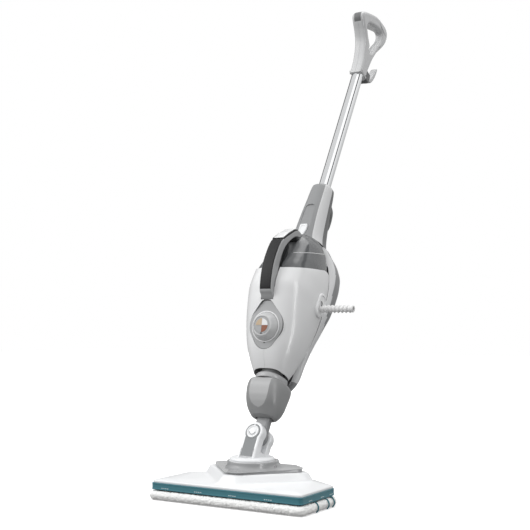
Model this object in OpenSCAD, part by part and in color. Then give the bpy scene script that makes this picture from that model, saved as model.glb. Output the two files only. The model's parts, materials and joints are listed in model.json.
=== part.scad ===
// Steam mop with a docked hand-held steamer, a swivel head and a washable pad.
// Units are millimetres and +Z is up. The origin is the middle of the hand grip.
// The floor lies below it. The mop faces -Y and leans back towards +Y.

/* [Lean and hinge] */
// Angle of the upright from vertical in the rest pose
lean = 30.5;            // [0:0.5:45]
// Height of the pitch hinge above the floor
hinge_z = 68;           // [60:1:90]
// Height of the roll pin above the pitch hinge, along the upright
roll_t = 46;            // [36:1:60]

/* [Head] */
// Width of the head over the pad band
head_w = 310;           // [260:1:360]
// Distance from the hinge to the front of the head
head_front = 98;        // [80:1:120]
// Distance from the hinge to the end of the straight sides
head_side = 17;         // [0:1:40]
// Distance from the hinge to the back of the head
head_back = 56;         // [50:1:80]
// Diameter of the terry roll around the pad
roll_d = 18;            // [12:1:24]

/* [Upright] */
// Outside diameter of the chrome tube
tube_d = 25.4;          // [22:0.1:32]
// Wall of the chrome tube
tube_wall = 1.2;        // [0.8:0.1:2]
// Distance of the tube axis in front of the hinge axis
tube_y = -31;           // [-40:1:0]
// Thickness of the moulded shells
wall = 2.4;             // [1.6:0.1:4]

/* [Steamer] */
// Diameter of the round knob on the front
knob_d = 54;            // [44:1:58]
// Diameter of the mains lead that the inlet takes
lead_d = 7;             // [6:0.5:9]
// Gap between pieces that don't move
gap = 0.35;             // [0.1:0.05:0.6]

/* [Hidden] */
$fn = 64;
// Places on the upright are given in its own axes: x to the side, y to the back and t up the tube,
// all from the hinge, before the upright is leaned.
// Middle of the hand grip
grip_y = -26;
grip_t = 1078;
oy = grip_y*cos(lean) + grip_t*sin(lean);
oz = hinge_z + grip_t*cos(lean) - grip_y*sin(lean);
// Swivel
ball_r = 43;
pad_out = 7;            // the pad sticks out this far past the head
front_ear = [-28, -10.5];   // y of the front ear's two faces
rear_ear = [5.5, 20];       // y of the rear ear's two faces
ear_gap = 0.35;        // play between the tongue and each ear
tongue_y0 = front_ear[1] + ear_gap;
tongue_y1 = rear_ear[0] - ear_gap;
tongue_mid = (tongue_y0 + tongue_y1)/2;
pipe_d = 10;           // steam pipe
roll_pin_d = 10;
pitch_pin_d = 7;
pin_play = 0.16;       // how much wider the bores of the roll pin are
pivot_t = -7;          // the pitch axis, along the upright
pivot_y = pivot_t*sin(lean);
pivot_z = hinge_z + pivot_t*cos(lean);
// Head
deck_z = 31;           // underside of the white cover
band_z = [18.9, 30.8];
flat_z = 53.8;         // underside of the swivel collar
// Control panel, lead inlet and cord hook
panel_a = 21;          // slope of the control panel
panel_y = -85.2;
panel_t = 233.5;
boss_y = -32;
boss_t = 303;
hook_t = 939;
// Screws
screw_d = 3;
screw_hole = 3.4;

// ---------- frames ----------
module world() translate([0, -oy, -oz]) children();
module upright() world() translate([0, 0, hinge_z]) rotate([-lean, 0, 0]) children();

// ---------- lofted shells ----------
// A row is [height, half width, front, widest, back, squareness].
function ring_pt(r, f, in, s) =
    let (a = max(r[1] - in, 0.8), yf = r[2] + in, yb = r[4] - in,
         ym = max(min(r[3], yb - 0.8), yf + 0.8), p = 2/r[5], c = cos(f), d = sin(f),
         y = c > 0 ? ym - (ym - yf)*pow(abs(c), p) : ym + (yb - ym)*pow(abs(c), p))
    [s*(gap/2 + a*pow(max(d, 0), p)), y, r[0]];

// One half of a hollow shell, s is -1 for the left half and 1 for the right half.
module half_shell(rows, th, s, n = 16) {
    m = len(rows);
    k = n + 1;
    out = [for (r = rows) for (j = [0:n]) ring_pt(r, 180*j/n, 0, s)];
    inn = [for (r = rows) for (j = [0:n]) ring_pt(r, 180*j/n, th, s)];
    pts = concat(out, inn);
    o = m*k;
    skin = [for (i = [0:m-2]) for (j = [0:n-1]) for (q = [
        [i*k+j, i*k+j+1, (i+1)*k+j+1], [i*k+j, (i+1)*k+j+1, (i+1)*k+j]]) q];
    lining = [for (f = skin) [f[0]+o, f[2]+o, f[1]+o]];
    ends = [for (j = [0:n-1]) for (q = [
        [j, o+j+1, j+1], [j, o+j, o+j+1],
        [(m-1)*k+j, (m-1)*k+j+1, o+(m-1)*k+j+1],
        [(m-1)*k+j, o+(m-1)*k+j+1, o+(m-1)*k+j]]) q];
    seams = [for (i = [0:m-2]) for (q = [
        [i*k, (i+1)*k, o+(i+1)*k], [i*k, o+(i+1)*k, o+i*k],
        [i*k+n, o+(i+1)*k+n, (i+1)*k+n], [i*k+n, o+i*k+n, o+(i+1)*k+n]]) q];
    all = concat(skin, lining, ends, seams);
    polyhedron(pts, s > 0 ? [for (f = all) [f[0], f[2], f[1]]] : all, convexity = 8);
}

// A closed solid over full rings.
module solid_loft(rows, n = 32, in = 0) {
    m = len(rows);
    pts = [for (r = rows) for (j = [0:n-1])
        let (f = 360*j/n, q = ring_pt(r, f > 180 ? 360 - f : f, in, 1),
             x = q[0] - gap/2) [f > 180 ? -x : x, q[1], q[2]]];
    side = [for (i = [0:m-2]) for (j = [0:n-1]) let (l = (j+1)%n) for (q = [
        [i*n+j, (i+1)*n+l, i*n+l], [i*n+j, (i+1)*n+j, (i+1)*n+l]]) q];
    polyhedron(pts, concat(side, [[for (j = [0:n-1]) j]],
        [[for (j = [0:n-1]) (m-1)*n + n-1-j]]), convexity = 6);
}

// ---------- head ----------
function plan(d) = [
    [-head_w/2-d, -head_front-d], [head_w/2+d, -head_front-d], [head_w/2+d, head_side+d*0.5],
    [98+d*0.4, head_back+d], [-98-d*0.4, head_back+d], [-head_w/2-d, head_side+d*0.5]];
module outline(d, r = 5) {
    if (r > 0) hull() for (p = plan(d - r)) translate(p) circle(r, $fn = 32);
    else polygon(plan(d));
}
module slab(d, z0, z1, r = 5) translate([0, 0, z0]) linear_extrude(z1 - z0) outline(d, r);
module ball_space(r) translate([0, pivot_y, pivot_z]) sphere(r);
// The raised middle of the deck
module kite(d, z0, h) translate([0, 0, z0]) linear_extrude(h) hull() {
    for (s = [-1, 1]) translate([s*(104-d), 18]) circle(10, $fn = 32);
    for (s = [-1, 1]) translate([s*(20-d), -72+d]) circle(12, $fn = 32);
    for (s = [-1, 1]) translate([s*(72-d), 46-d]) circle(8, $fn = 32);
}
module deck(d, lift) {
    hull() {
        slab(-d, deck_z, 35.5, 5);
        slab(-7-d, 36, 36.6+lift, 6);
    }
    hull() {
        slab(-7-d, 34, 36.6+lift, 6);
        kite(d, 40, 8 + lift);
    }
    hull() {
        kite(d, 40, 8 + lift);
        kite(d + 8, 44, 9.4 + lift);
    }
}
// The slot at the back that the upright leans into
module yoke_slot(z) translate([-26, 0, z]) cube([52, 90, 60]);
module pin_line(d, x0, x1) translate([x0, pivot_y, pivot_z]) rotate([0, 90, 0])
    cylinder(d = d, h = x1 - x0);
head_screw_spots = [[-128, -78], [128, -78], [-128, 0], [128, 0], [-62, -76], [62, -76]];
module screw_spots() for (p = head_screw_spots) translate(p) children();

module head_cover() color("white") world() difference() {
    deck(0, 0);
    difference() {
        deck(wall, -wall);
        screw_spots() translate([0, 0, 24]) cylinder(d = 9, h = 30);
    }
    translate([0, 0, 26]) linear_extrude(6.4) outline(-wall, 4);
    ball_space(ball_r + 2.6);
    yoke_slot(38);
    screw_spots() translate([0, 0, 24]) cylinder(d = screw_d, h = 14);
}

module sole_plate() color("dimgray") world() difference() {
    union() {
        slab(-17, 12, 18.4, 6);
        slab(-5.4, 18.4, 30.6, 9);
    }
    translate([0, 0, 20.4]) linear_extrude(20) outline(-19, 6);
    ball_space(ball_r + 2.6);
    screw_spots() translate([0, 0, 11]) cylinder(d = 3.6, h = 20);
    screw_spots() translate([0, 0, 11]) cylinder(d = 7, h = 3.4);
    for (x = [-120:24:120], y = [-70, -24]) translate([x, y, 11]) cylinder(d = 3, h = 12);
}
module head_screws() color("silver") world() screw_spots() {
    translate([0, 0, 12]) cylinder(d = 6.4, h = 2.3);
    translate([0, 0, 14.3]) cylinder(d = screw_d, h = 18);
}

module steam_duct() color("gainsboro") world() difference() {
    union() {
        translate([-110, -60, 22]) cube([220, 14, 8]);
        translate([-7, -46, 22]) cube([14, 20, 8]);
    }
    translate([-107, -57.5, 21.9]) cube([214, 9, 6]);
    ball_space(ball_r + 2.9);
}
module pad_band() color([0.25, 0.5, 0.54]) world() difference() {
    slab(1.6, band_z[0], band_z[1], 6.6);
    translate([0, 0, 10]) linear_extrude(30) outline(-1.2, 4);
}
module hook_strips() color("gray") world() for (y = [-76, -46, 6])
    translate([-116, y, 10.1]) cube([232, 18, 1.6]);
// The pad is a thick roll all round a flat sheet. It is pressed flat against the floor.
roll_z = roll_d/2 - 0.5;
sheet_z = 9.6;
module mop_pad() color("white") world() difference() {
    hull() for (p = plan(pad_out - roll_d/2)) translate([p[0], p[1], roll_z])
        sphere(d = roll_d, $fn = 32);
    translate([0, 0, sheet_z]) linear_extrude(20) outline(3.6 - roll_d, 6);
    translate([-200, -200, -20]) cube([400, 400, 20]);
}
// Cords that hold the roll at both ends, open towards the sole
module pad_loops() color([0.25, 0.45, 0.48]) world() for (s = [-1, 1], y = [-52, -14, 6])
    translate([s*(head_w/2 + pad_out - roll_d/2), y, roll_z]) rotate([90, 0, 0]) difference() {
        cylinder(d = roll_d + 2.4, h = 2.4, center = true);
        cylinder(d = roll_d + 0.2, h = 4, center = true);
        translate([-20, -roll_d/2 - 10, -5]) cube([40, 11, 10]);
        translate([s > 0 ? -30 : 2, -20, -5]) cube([28, 40, 10]);
        translate([-20, roll_d/2 + 0.3, -5]) cube([40, 10, 10]);
    }
module swivel_collar() color("darkgray") world() difference() {
    union() {
        hull() {
            translate([0, -62, flat_z]) cylinder(r = 11, h = 3, $fn = 32);
            for (s = [-1, 1]) translate([s*80, 16, flat_z]) cylinder(r = 11, h = 5.5, $fn = 32);
            for (s = [-1, 1]) translate([s*48, 42, flat_z]) cylinder(r = 9, h = 5.5, $fn = 32);
        }
        hull() {
            translate([0, -56, 56.6]) cylinder(r = 10, h = 0.6, $fn = 32);
            for (s = [-1, 1]) translate([s*76, 15, 58.6]) cylinder(r = 8, h = 1, $fn = 32);
            translate([0, 0, 67]) cylinder(r = 47, h = 4);
        }
    }
    ball_space(ball_r + 0.8);
    yoke_slot(40);
    pin_line(pitch_pin_d + 0.2, -60, 60);
}
module pitch_pin() color("silver") world() {
    pin_line(pitch_pin_d, -51, -31);
    pin_line(pitch_pin_d, 31, 51);
}
// ---------- yoke ----------
module swivel_ball() color("white") world() difference() {
    intersection() {
        ball_space(ball_r);
        translate([-50, -50, 0]) cube([100, 100, hinge_z + 4]);
    }
    ball_space(ball_r - 3);
    pin_line(pitch_pin_d + 0.12, -60, 60);
    translate([0, -28, pivot_z - 28]) rotate([45, 0, 0]) cylinder(d = 12, h = 40, center = true);
}
module ear(span) translate([0, span[1], 0]) rotate([90, 0, 0])
    linear_extrude(span[1] - span[0]) hull() {
        translate([0, roll_t]) circle(20);
        translate([-17.5, -14]) square([35, 1]);
    }
module yoke() color("white") difference() {
    union() {
        world() intersection() {
            ball_space(ball_r);
            translate([-50, -50, hinge_z + 4.3]) cube([100, 100, 3.5]);
        }
        difference() {
            upright() union() {
                ear(front_ear);
                ear(rear_ear);
                translate([-17.5, front_ear[0], 2]) cube([35, rear_ear[1] - front_ear[0], 14]);
            }
            world() translate([-60, -60, 0]) cube([120, 120, hinge_z + 4.3]);
        }
    }
    upright() {
        rotate([90, 0, 0]) translate([0, roll_t, 0])
            cylinder(d = roll_pin_d + 0.1, h = 80, center = true);
        for (s = [-1, 1]) inset_shape(s, 0.15);
        translate([0, tongue_mid, -20]) cylinder(d = 13, h = 60);
    }
}
function inset_foot(s) = s < 0 ? -2 : 30;
function ear_face(s) = s < 0 ? front_ear[0] : rear_ear[1];
module inset_shape(s, c) translate([0, ear_face(s) + s*0.2, 0]) rotate([90, 0, 0])
    linear_extrude(3.2 + c, center = true) {
        translate([0, roll_t]) circle(15.5 + c);
        translate([-12.5-c, inset_foot(s)]) square([25 + 2*c, roll_t - inset_foot(s)]);
    }
module ear_insets() color("gray") upright() for (s = [-1, 1]) difference() {
    inset_shape(s, 0);
    rotate([90, 0, 0]) translate([0, roll_t, 0]) cylinder(d = 24.4, h = 80, center = true);
}
module roll_caps() color("white") upright() for (s = [-1, 1]) difference() {
    translate([0, ear_face(s) + s*0.5, roll_t]) rotate([90, 0, 0])
        cylinder(d = 24, h = 3.6, center = true);
    translate([0, ear_face(s) + s*2.6, roll_t]) rotate([90, 0, 0])
        cylinder(d = 13, h = 2, center = true);
}
module roll_pin() color("silver") upright() translate([0, rear_ear[1] - 1.5, roll_t])
    rotate([90, 0, 0]) cylinder(d = roll_pin_d, h = rear_ear[1] - front_ear[0] - 3);

// ---------- upright: tongue, cup, neck ----------
module tongue() color("gray") upright() difference() {
    union() {
        translate([0, tongue_y1 - 0.1, roll_t]) rotate([90, 0, 0])
            cylinder(d = 29.4, h = tongue_y1 - tongue_y0 - 0.2);
        translate([0, 0, roll_t]) linear_extrude(42) hull()
            for (s = [-1, 1], y = [tongue_y0 + 5, tongue_y1 - 5]) translate([9*s, y]) circle(5, $fn = 32);
    }
    translate([0, 0, roll_t]) rotate([90, 0, 0])
        cylinder(d = roll_pin_d + pin_play, h = 60, center = true);
    translate([0, tongue_mid, roll_t + 8]) cylinder(d = pipe_d + 0.6, h = 60);
    translate([-10, tongue_mid - 5.4, roll_t + 22]) cube([20, 10.8, 30]);
}

cup_rows = [[83, 22, -21, -4, 12, 2.2], [87, 28, -29, -6, 16, 2.2], [94, 32.5, -37, -9, 19, 2.3],
    [104, 35.5, -46, -12, 21, 2.4], [118, 37.5, -52, -15, 22.5, 2.5],
    [134, 38.5, -54.5, -16, 24, 2.6], [143, 37.6, -53, -16, 25, 2.6], [149, 34.5, -48.5, -16, 25, 2.6]];
cup_screw_t = [106, 136];
module cup_block(front) translate([-60, front ? -80 : 10.2, 60]) cube([120, 89.8, 140]);
module tongue_slot() translate([-14 - ear_gap, front_ear[1], 60])
    cube([28 + 2*ear_gap, rear_ear[0] - front_ear[1], 29]);
module cup_shell() difference() {
    solid_loft(cup_rows, 32);
    translate([0, 0, 3]) solid_loft(cup_rows, 32, 2.6);
}
module cup_front() color("gray") upright() difference() {
    intersection() { cup_shell(); cup_block(true); }
    for (s = [-1, 1], t = cup_screw_t) translate([s*25, 16, t]) rotate([90, 0, 0])
        cylinder(d = screw_hole, h = 26);
    tongue_slot();
}
module cup_rear() color("gray") upright() difference() {
    intersection() { cup_shell(); cup_block(false); }
    for (s = [-1, 1], t = cup_screw_t) translate([s*25, 60, t]) rotate([90, 0, 0])
        cylinder(d = screw_hole, h = 70);
    tongue_slot();
}
module cup_screws() color("silver") upright() for (s = [-1, 1], t = cup_screw_t)
    translate([s*25, 14, t]) rotate([90, 0, 0]) cylinder(d = screw_d, h = 22);
module steam_pipe() color("silver") upright() translate([0, tongue_mid, 0]) difference() {
    union() {
        translate([0, 0, 76]) cylinder(d = pipe_d, h = 70);
        translate([0, 0, 131]) cylinder(d = 22, h = 15);
    }
    translate([0, 0, 75]) cylinder(d = 6, h = 100);
}

// ---------- dock: the grey back that carries the steamer ----------
spine_rows = [[146, 15, 20, 24, 29, 2.4], [160, 25, 19, 24, 31, 2.4],
    [176, 34, 10, 20, 34, 2.5], [205, 46, 2, 12, 33, 2.6],
    [240, 57, -10, 6, 34, 2.6], [280, 64, -12, 6, 40, 2.6], [330, 67.5, -14, 6, 51, 2.6],
    [370, 67, -16, 6, 57, 2.6], [403, 63.5, -18, 6, 58, 2.6], [428, 54, -22, 2, 52, 2.5],
    [446, 42, -34, -8, 38, 2.4], [462, 34, -50, -20, 20, 2.4], [474, 31, -56, -24, 9, 2.4]];
// The space that a lofted piece takes, with room c round it and over its top
function wider(rows, c, top) = [for (r = rows)
    [r[0] + (r[0] > top ? c : 0), r[1] + c, r[2] - c, r[3], r[4] + c, r[5]]];
module case_clear(c) solid_loft(wider(case_rows, c, 999), 32);
module tank_clear(c) solid_loft(wider(tank_rows, c, 445), 32);
module cup_clear(c) solid_loft(wider(cup_rows, c, 999), 32);
module dock_spine() color("gray") upright() difference() {
    intersection() {
        solid_loft(spine_rows, 32);
        translate([-90, -60, 130]) cube([180, 200, 321.6]);
    }
    translate([0, 0, -0.2]) solid_loft(spine_rows, 32, wall);
    case_clear(0.8);
    tank_clear(0.8);
    cup_clear(0.4);
    translate([0, -14, 130]) cylinder(d = 72, h = 53);
}
module dock_rails() color("silver") upright() for (s = [-1, 1])
    translate([s > 0 ? 26 : -32, 19.6, 262]) cube([6, 6, 116]);
neck_rows = [[452, 32, -63, -26, 13, 2.5], [476, 28.5, -61, -28, 6, 2.6],
    [510, 25, -59, -30, 0, 2.6], [554, 22, -55, -31, -6, 2.6], [590, 20, -51.5, -31, -11, 2.6],
    [596, 18.5, -49.5, -31, -13, 2.6]];
module neck_shell() difference() {
    solid_loft(neck_rows, 32);
    intersection() {
        solid_loft(neck_rows, 32, 2.6);
        translate([-60, -90, 440]) cube([120, 120, 152]);
    }
    translate([0, tube_y, 480]) cylinder(d = tube_d + 0.3, h = 200);
}
module neck_front() color("gray") upright() difference() {
    intersection() { neck_shell(); translate([-60, -100, 450]) cube([120, 68.8, 170]); }
    button_shape(0.5);
}
module neck_rear() color("gray") upright() intersection() {
    neck_shell();
    translate([-60, -30.8, 450]) cube([120, 100, 170]);
}
module neck_screws() color("silver") upright() for (s = [-1, 1], t = [498, 575])
    translate([s*14.7, -21, t]) rotate([90, 0, 0]) cylinder(d = 2.6, h = 20);

module button_shape(c) translate([0, -60, 470.5]) rotate([90, 0, 0])
    linear_extrude(16, center = true) translate([-8-c, -14.5-c]) square([16 + 2*c, 29 + 2*c]);
module release_button() color("white") upright() difference() {
    union() {
        translate([-8, -63, 456]) cube([16, 9, 29]);
        translate([-9.6, -56.2, 454]) cube([19.2, 2.2, 32]);
    }
    translate([0, -60.5, 472]) rotate([-90, 0, 0]) cylinder(d = 8.8, h = 12);
}
module release_spring() color("silver") upright() translate([0, -56.8, 472])
    rotate([-90, 0, 0]) difference() {
        cylinder(d = 8, h = 11);
        translate([0, 0, -1]) cylinder(d = 6.4, h = 13);
    }
module rear_hook() color("dimgray") upright() difference() {
    union() {
        translate([-9, -16, 562]) cube([18, 34, 16]);
        translate([-9, 12, 522]) cube([18, 7, 54]);
        translate([-9, 7, 518]) cube([18, 12, 7]);
    }
    solid_loft(wider(neck_rows, 0.3, 999), 32);
}
// ---------- tube and handle ----------
tube_t = 500;          // lower end of the tube, inside the neck
tube_len = 452;
module tube() color("silver") upright() translate([0, tube_y, tube_t]) difference() {
    cylinder(d = tube_d, h = tube_len);
    translate([0, 0, -1]) cylinder(d = tube_d - 2*tube_wall, h = tube_len + 2);
}

handle_out = [[-46, 914], [-46.5, 940], [-50, 966], [-60, 994], [-76, 1013], [-92, 1026],
    [-100, 1036], [-99, 1047], [-88, 1058], [-66, 1074], [-42, 1089], [-18, 1100], [3, 1107],
    [17, 1107], [27, 1101], [31, 1089], [29, 1070], [20, 1048], [10, 1028], [0, 1007],
    [-8, 987], [-12, 965], [-15, 940], [-15, 914]];
handle_in = [[-36, 1001], [-52, 1014], [-66, 1029], [-65, 1040], [-50, 1052], [-28, 1065],
    [-10, 1076], [1, 1080], [8, 1075], [8, 1062], [1, 1044], [-9, 1023], [-19, 1004], [-27, 999]];
handle_screw_spots = [[-82, 31], [18, 64], [-30, -28]];
// A flat shape in the mid-plane, given as [y, t] points, made thick from x0 to x1
module yz(pts, x0, x1) translate([x0, 0, 0]) rotate([90, 0, 90])
    linear_extrude(x1 - x0) polygon(pts);
module handle_half(x0, x1) difference() {
    yz(handle_out, x0, x1);
    yz(handle_in, x0 - 1, x1 + 1);
    translate([0, tube_y, 900]) cylinder(d = tube_d + 0.3, h = 53);
    inset_body(0.3);
    translate([0, 0, 1000]) for (p = handle_screw_spots)
        translate([-20, p[0], p[1]]) rotate([0, 90, 0]) cylinder(d = screw_d + 0.1, h = 40);
}
inset_pts = [[-97, 1029.5], [-92, 1026], [-84, 1032], [-80, 1040], [-74, 1048], [-58, 1058],
    [-36, 1071], [-12, 1084], [4, 1090], [14, 1096], [14, 1112], [3, 1112],
    [-18, 1104], [-42, 1092], [-66, 1076], [-88, 1060], [-101, 1048], [-103, 1036]];
module inset_body(c) intersection() {
    yz(inset_pts, -8 - c, 8 + c);
    difference() {
        yz(handle_out, -30, 30);
        if (c == 0) yz(handle_in, -31, 31);
    }
}
module handle_left() color("gray") upright() handle_half(-15, -gap/2);
module handle_right() color("gray") upright() handle_half(gap/2, 15);
module handle_inset() color("dimgray") upright() intersection() {
    yz(inset_pts, -8, 8);
    yz(handle_out, -30, 30);
}
module handle_screws() color("silver") upright() translate([0, 0, 1000])
    for (p = handle_screw_spots) translate([-9, p[0], p[1]])
        rotate([0, 90, 0]) cylinder(d = screw_d, h = 18);

module hook_base() color("dimgray") upright() difference() {
    translate([-10, -13.4, 924]) cube([20, 19.4, 24]);
    translate([0, -12, hook_t]) rotate([-90, 0, 0]) cylinder(d = 8.7, h = 30);
}
module top_hook() color("dimgray") upright() {
    translate([0, -8, hook_t]) rotate([-90, 0, 0]) cylinder(d = 8, h = 15);
    translate([-8, 6.6, hook_t - 5]) cube([16, 13, 11]);
    hull() {
        translate([-8, 14, hook_t]) cube([16, 6, 5]);
        translate([0, 24, hook_t + 43]) rotate([-90, 0, 0]) cylinder(d = 16, h = 6);
    }
}
// ---------- steamer ----------
case_rows = [[162, 34, -47, -22, 4, 2.5], [173, 39, -57, -24, 6, 2.6], [189, 46, -69, -27, 8, 2.6],
    [205, 53, -78, -28, 9, 2.6], [232, 61, -89, -30, 11, 2.6], [262, 66, -102, -32, 14, 2.6],
    [290, 68.5, -113, -34, 16, 2.6], [320, 70, -121, -36, 17, 2.6], [350, 69, -119.5, -36, 16, 2.6],
    [376, 65.5, -112, -36, 13, 2.6], [400, 59, -103, -36, 8, 2.6], [414, 54, -98, -36, 4, 2.6]];
// The recess behind the grip, the space over the casing's top edge, and the grip's foot
module channel(c) translate([-14.8 - c, -150, 302 - c]) cube([29.6 + 2*c, 70 + c, 126 + 2*c]);
module above_line(c) translate([0, 0, 405.6 + c]) rotate([27.5, 0, 0])
    translate([-100, -200, 0]) cube([200, 400, 120]);
module grip_foot(c) translate([-13.4-c, -150, 279-c]) cube([26.8+2*c, 67+c, 24+c]);
module case_cuts() {
    channel(0);
    grip_foot(0.35);
    above_line(0);
    panel_place() translate([0, 0, -8]) linear_extrude(45) panel_shape(0.4);
    translate([50, boss_y, boss_t]) rotate([0, 90, 0]) cylinder(d = 13, h = 40);
    translate([0, -22, 156]) cylinder(d = 40.6, h = 20);
}
// The control panel's own plane: x to the side, y up the slope and z out of it
module panel_place() translate([0, panel_y, panel_t]) rotate([90 + panel_a, 0, 0]) children();
module panel_shape(c) hull() {
    translate([0, 3]) circle(36 + c, $fn = 48);
    translate([0, -18]) circle(24 + c, $fn = 32);
    translate([0, 34]) circle(17 + c, $fn = 32);
}
module case_left() color("white") upright() difference() {
    half_shell(case_rows, wall, -1, 16);
    case_cuts();
}
module case_right() color("white") upright() difference() {
    half_shell(case_rows, wall, 1, 16);
    case_cuts();
}
module case_screws() color("silver") upright() for (s = [[8, 318], [-60, 212], [5.5, 240]])
    translate([-12, s[0], s[1]]) rotate([0, 90, 0]) cylinder(d = screw_d, h = 24);

tank_rows = [[338, 62, -110, -36, 8, 2.6], [350, 65.5, -116.6, -36, 13.5, 2.6],
    [376, 62, -109.2, -36, 10.5, 2.6], [400, 56, -100.2, -36, 5.5, 2.6],
    [424, 49, -91, -34, -4, 2.6], [440, 42, -83, -32, -10, 2.5], [450, 35, -77, -31, -14, 2.4]];
module water_tank() color([0.35, 0.36, 0.38, 0.6]) upright() difference() {
    solid_loft(tank_rows, 32);
    difference() {
        translate([0, 0, 2]) solid_loft([for (r = tank_rows) [r[0] - (r[0] > 445 ? 4 : 0),
            r[1], r[2], r[3], r[4], r[5]]], 32, 2);
        channel(2.4);
    }
    channel(0.4);
    filler_place() translate([0, 0, -6]) cylinder(d = 17, h = 30);
}
module filler_place() translate([-38, -30, 424]) rotate([0, -52, 0]) children();
module grip_well() color("white") upright() difference() {
    intersection() {
        case_clear(-2.6);
        channel(2.2);
    }
    channel(0.2);
    grip_foot(0.5);
    above_line(-2);
    translate([-100, -150, 337.6]) cube([200, 300, 200]);
}
module tank_gasket() color("black") upright() translate([0, -30, 334.4]) difference() {
    cylinder(d = 16, h = 3);
    translate([0, 0, -1]) cylinder(d = 8, h = 6);
}
module filler_cap() color("dimgray") upright() filler_place() difference() {
    union() {
        translate([0, 0, 14]) cylinder(d = 25, h = 5);
        translate([0, 0, 6]) cylinder(d = 15.6, h = 9);
    }
    for (i = [0:11]) rotate(30*i) translate([13.4, 0, 13]) cylinder(d = 2.4, h = 8);
}
grip_mid = [[-104, 280], [-116, 286], [-124, 292], [-133, 314], [-139, 340], [-139.5, 366],
    [-137, 388], [-131, 402], [-117, 422], [-102, 441], [-90, 448], [-79, 447], [-79, 438],
    [-94, 431], [-107, 415], [-118, 393], [-122, 370], [-120, 345], [-114, 322], [-104, 303],
    [-84, 298], [-84, 288]];
pad_mid = [[-125.2, 293], [-134.6, 314], [-140.8, 340], [-141.3, 366], [-138.4, 389], [-133.4, 400],
    [-129, 397], [-133, 386], [-136, 366], [-135.5, 341], [-129.5, 316], [-121, 297]];
module grip_frame() color("gainsboro") upright() difference() {
    yz(grip_mid, -13.4, 13.4);
    yz(pad_mid, -11.9, 11.9);
    yz([[-129, 332], [-131, 376], [-105, 376], [-105, 332]], -7.4, 7.4);
    tank_clear(0.3);
}
module grip_pad() color("black") upright() yz(pad_mid, -11.5, 11.5);
module steam_trigger() color("dimgray") upright() difference() {
    yz([[-122, 336], [-123.5, 372], [-112, 372], [-108.5, 354], [-111, 336]], -7, 7);
    translate([0, -125, 354]) rotate([-90, 0, 0]) cylinder(d = 7, h = 9);
}
module trigger_spring() color("silver") upright() translate([0, -129.6, 354])
    rotate([-90, 0, 0]) difference() {
        cylinder(d = 6, h = 9);
        translate([0, 0, -1]) cylinder(d = 4.6, h = 12);
    }
module control_panel() color("darkgray") upright() difference() {
    panel_place() translate([0, 0, -5.4]) linear_extrude(7) panel_shape(0);
    panel_place() translate([0, 0, -12]) cylinder(d = 9.8, h = 30);
    grip_foot(0.4);
}
module dial_knob() color("gray") upright() panel_place() difference() {
    union() {
        translate([0, 0, 2]) cylinder(d1 = knob_d, d2 = knob_d - 15, h = 15);
        translate([0, 0, -8]) cylinder(d = 9, h = 11);
    }
    translate([0, 0, 15.4]) cylinder(d = knob_d - 21, h = 4);
}
module dial_face() color("tan") upright() panel_place()
    translate([0, 0, 15.5]) cylinder(d = knob_d - 21.4, h = 1.3);
module inlet_boss() color("lightgray") upright() difference() {
    intersection() {
        translate([58, boss_y, boss_t]) hull() for (z = [-1, 17]) translate([0, 0, z])
            rotate([0, 90, 0]) cylinder(d = 32, h = 15);
        translate([0, -200, 0]) cube([200, 400, 600]);
    }
    case_clear(0.3);
    translate([50, boss_y, boss_t]) rotate([0, 90, 0]) cylinder(d = 12, h = 30);
}
module lead_sleeve() color("white") upright() translate([0, boss_y, boss_t]) difference() {
    union() {
        translate([56, 0, 0]) rotate([0, 90, 0]) cylinder(d = 11.6, h = 20);
        translate([74, 0, 0]) rotate([0, 90, 0]) cylinder(d = 13, h = 66);
        for (i = [0:8]) translate([77 + i*7, 0, 0]) rotate([0, 90, 0]) cylinder(d = 15, h = 3.4);
        translate([138, 0, 0]) rotate([0, 90, 0]) cylinder(d = 11, h = 5);
    }
    translate([57, 0, 0]) rotate([0, 90, 0]) cylinder(d = lead_d, h = 90);
}

module boiler() color("silver") upright() translate([0, -40, 250]) difference() {
    union() {
        cylinder(d = 62, h = 60);
        translate([0, 0, -6]) cylinder(d = 14, h = 8);
    }
    translate([0, 0, 4]) cylinder(d = 54, h = 52);
}
module boiler_clamps() color("gray") upright() translate([0, -40, 0]) for (t = [258, 294])
    translate([0, 0, t]) difference() {
        cylinder(d = 66, h = 8);
        translate([0, 0, -1]) cylinder(d = 62.4, h = 10);
    }
module pump() color("black") upright() translate([-38, -22, 318]) cylinder(d = 26, h = 16);
module control_board() color("green") upright() translate([-24, -56, 314])
    cube([30, 1.6, 20]);
module water_hose() color("white") upright() translate([0, -30, 312]) difference() {
    cylinder(d = 8, h = 24);
    translate([0, 0, -1]) cylinder(d = 5, h = 26);
}
module steam_hose() color("white") upright() translate([0, -40, 204]) difference() {
    cylinder(d = 10, h = 39);
    translate([0, 0, -1]) cylinder(d = 6, h = 42);
}
module steam_nozzle() color("gray") upright() difference() {
    union() {
        translate([0, -22, 158]) cylinder(d = 40, h = 14);
        translate([0, -26, 171]) cylinder(d = 34, h = 25);
    }
    translate([0, -28, 157]) cylinder(d = 16, h = 40);
}
module nozzle_ring() color("lightgray") upright() translate([0, -17, 149.4]) difference() {
    cylinder(d = 62, h = 8);
    translate([0, -11, -1]) cylinder(d = 20, h = 10);
}
head_cover();
sole_plate();
pad_band();
mop_pad();
pad_loops();
hook_strips();
head_screws();
steam_duct();
swivel_collar();
pitch_pin();
swivel_ball();
yoke();
ear_insets();
roll_caps();
roll_pin();
tongue();
cup_front();
cup_rear();
cup_screws();
steam_pipe();
dock_spine();
dock_rails();
neck_front();
neck_rear();
neck_screws();
rear_hook();
tube();
handle_left();
handle_right();
handle_inset();
handle_screws();
hook_base();
top_hook();
release_button();
release_spring();
case_left();
case_right();
case_screws();
water_tank();
tank_gasket();
filler_cap();
grip_well();
grip_frame();
grip_pad();
steam_trigger();
trigger_spring();
control_panel();
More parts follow.
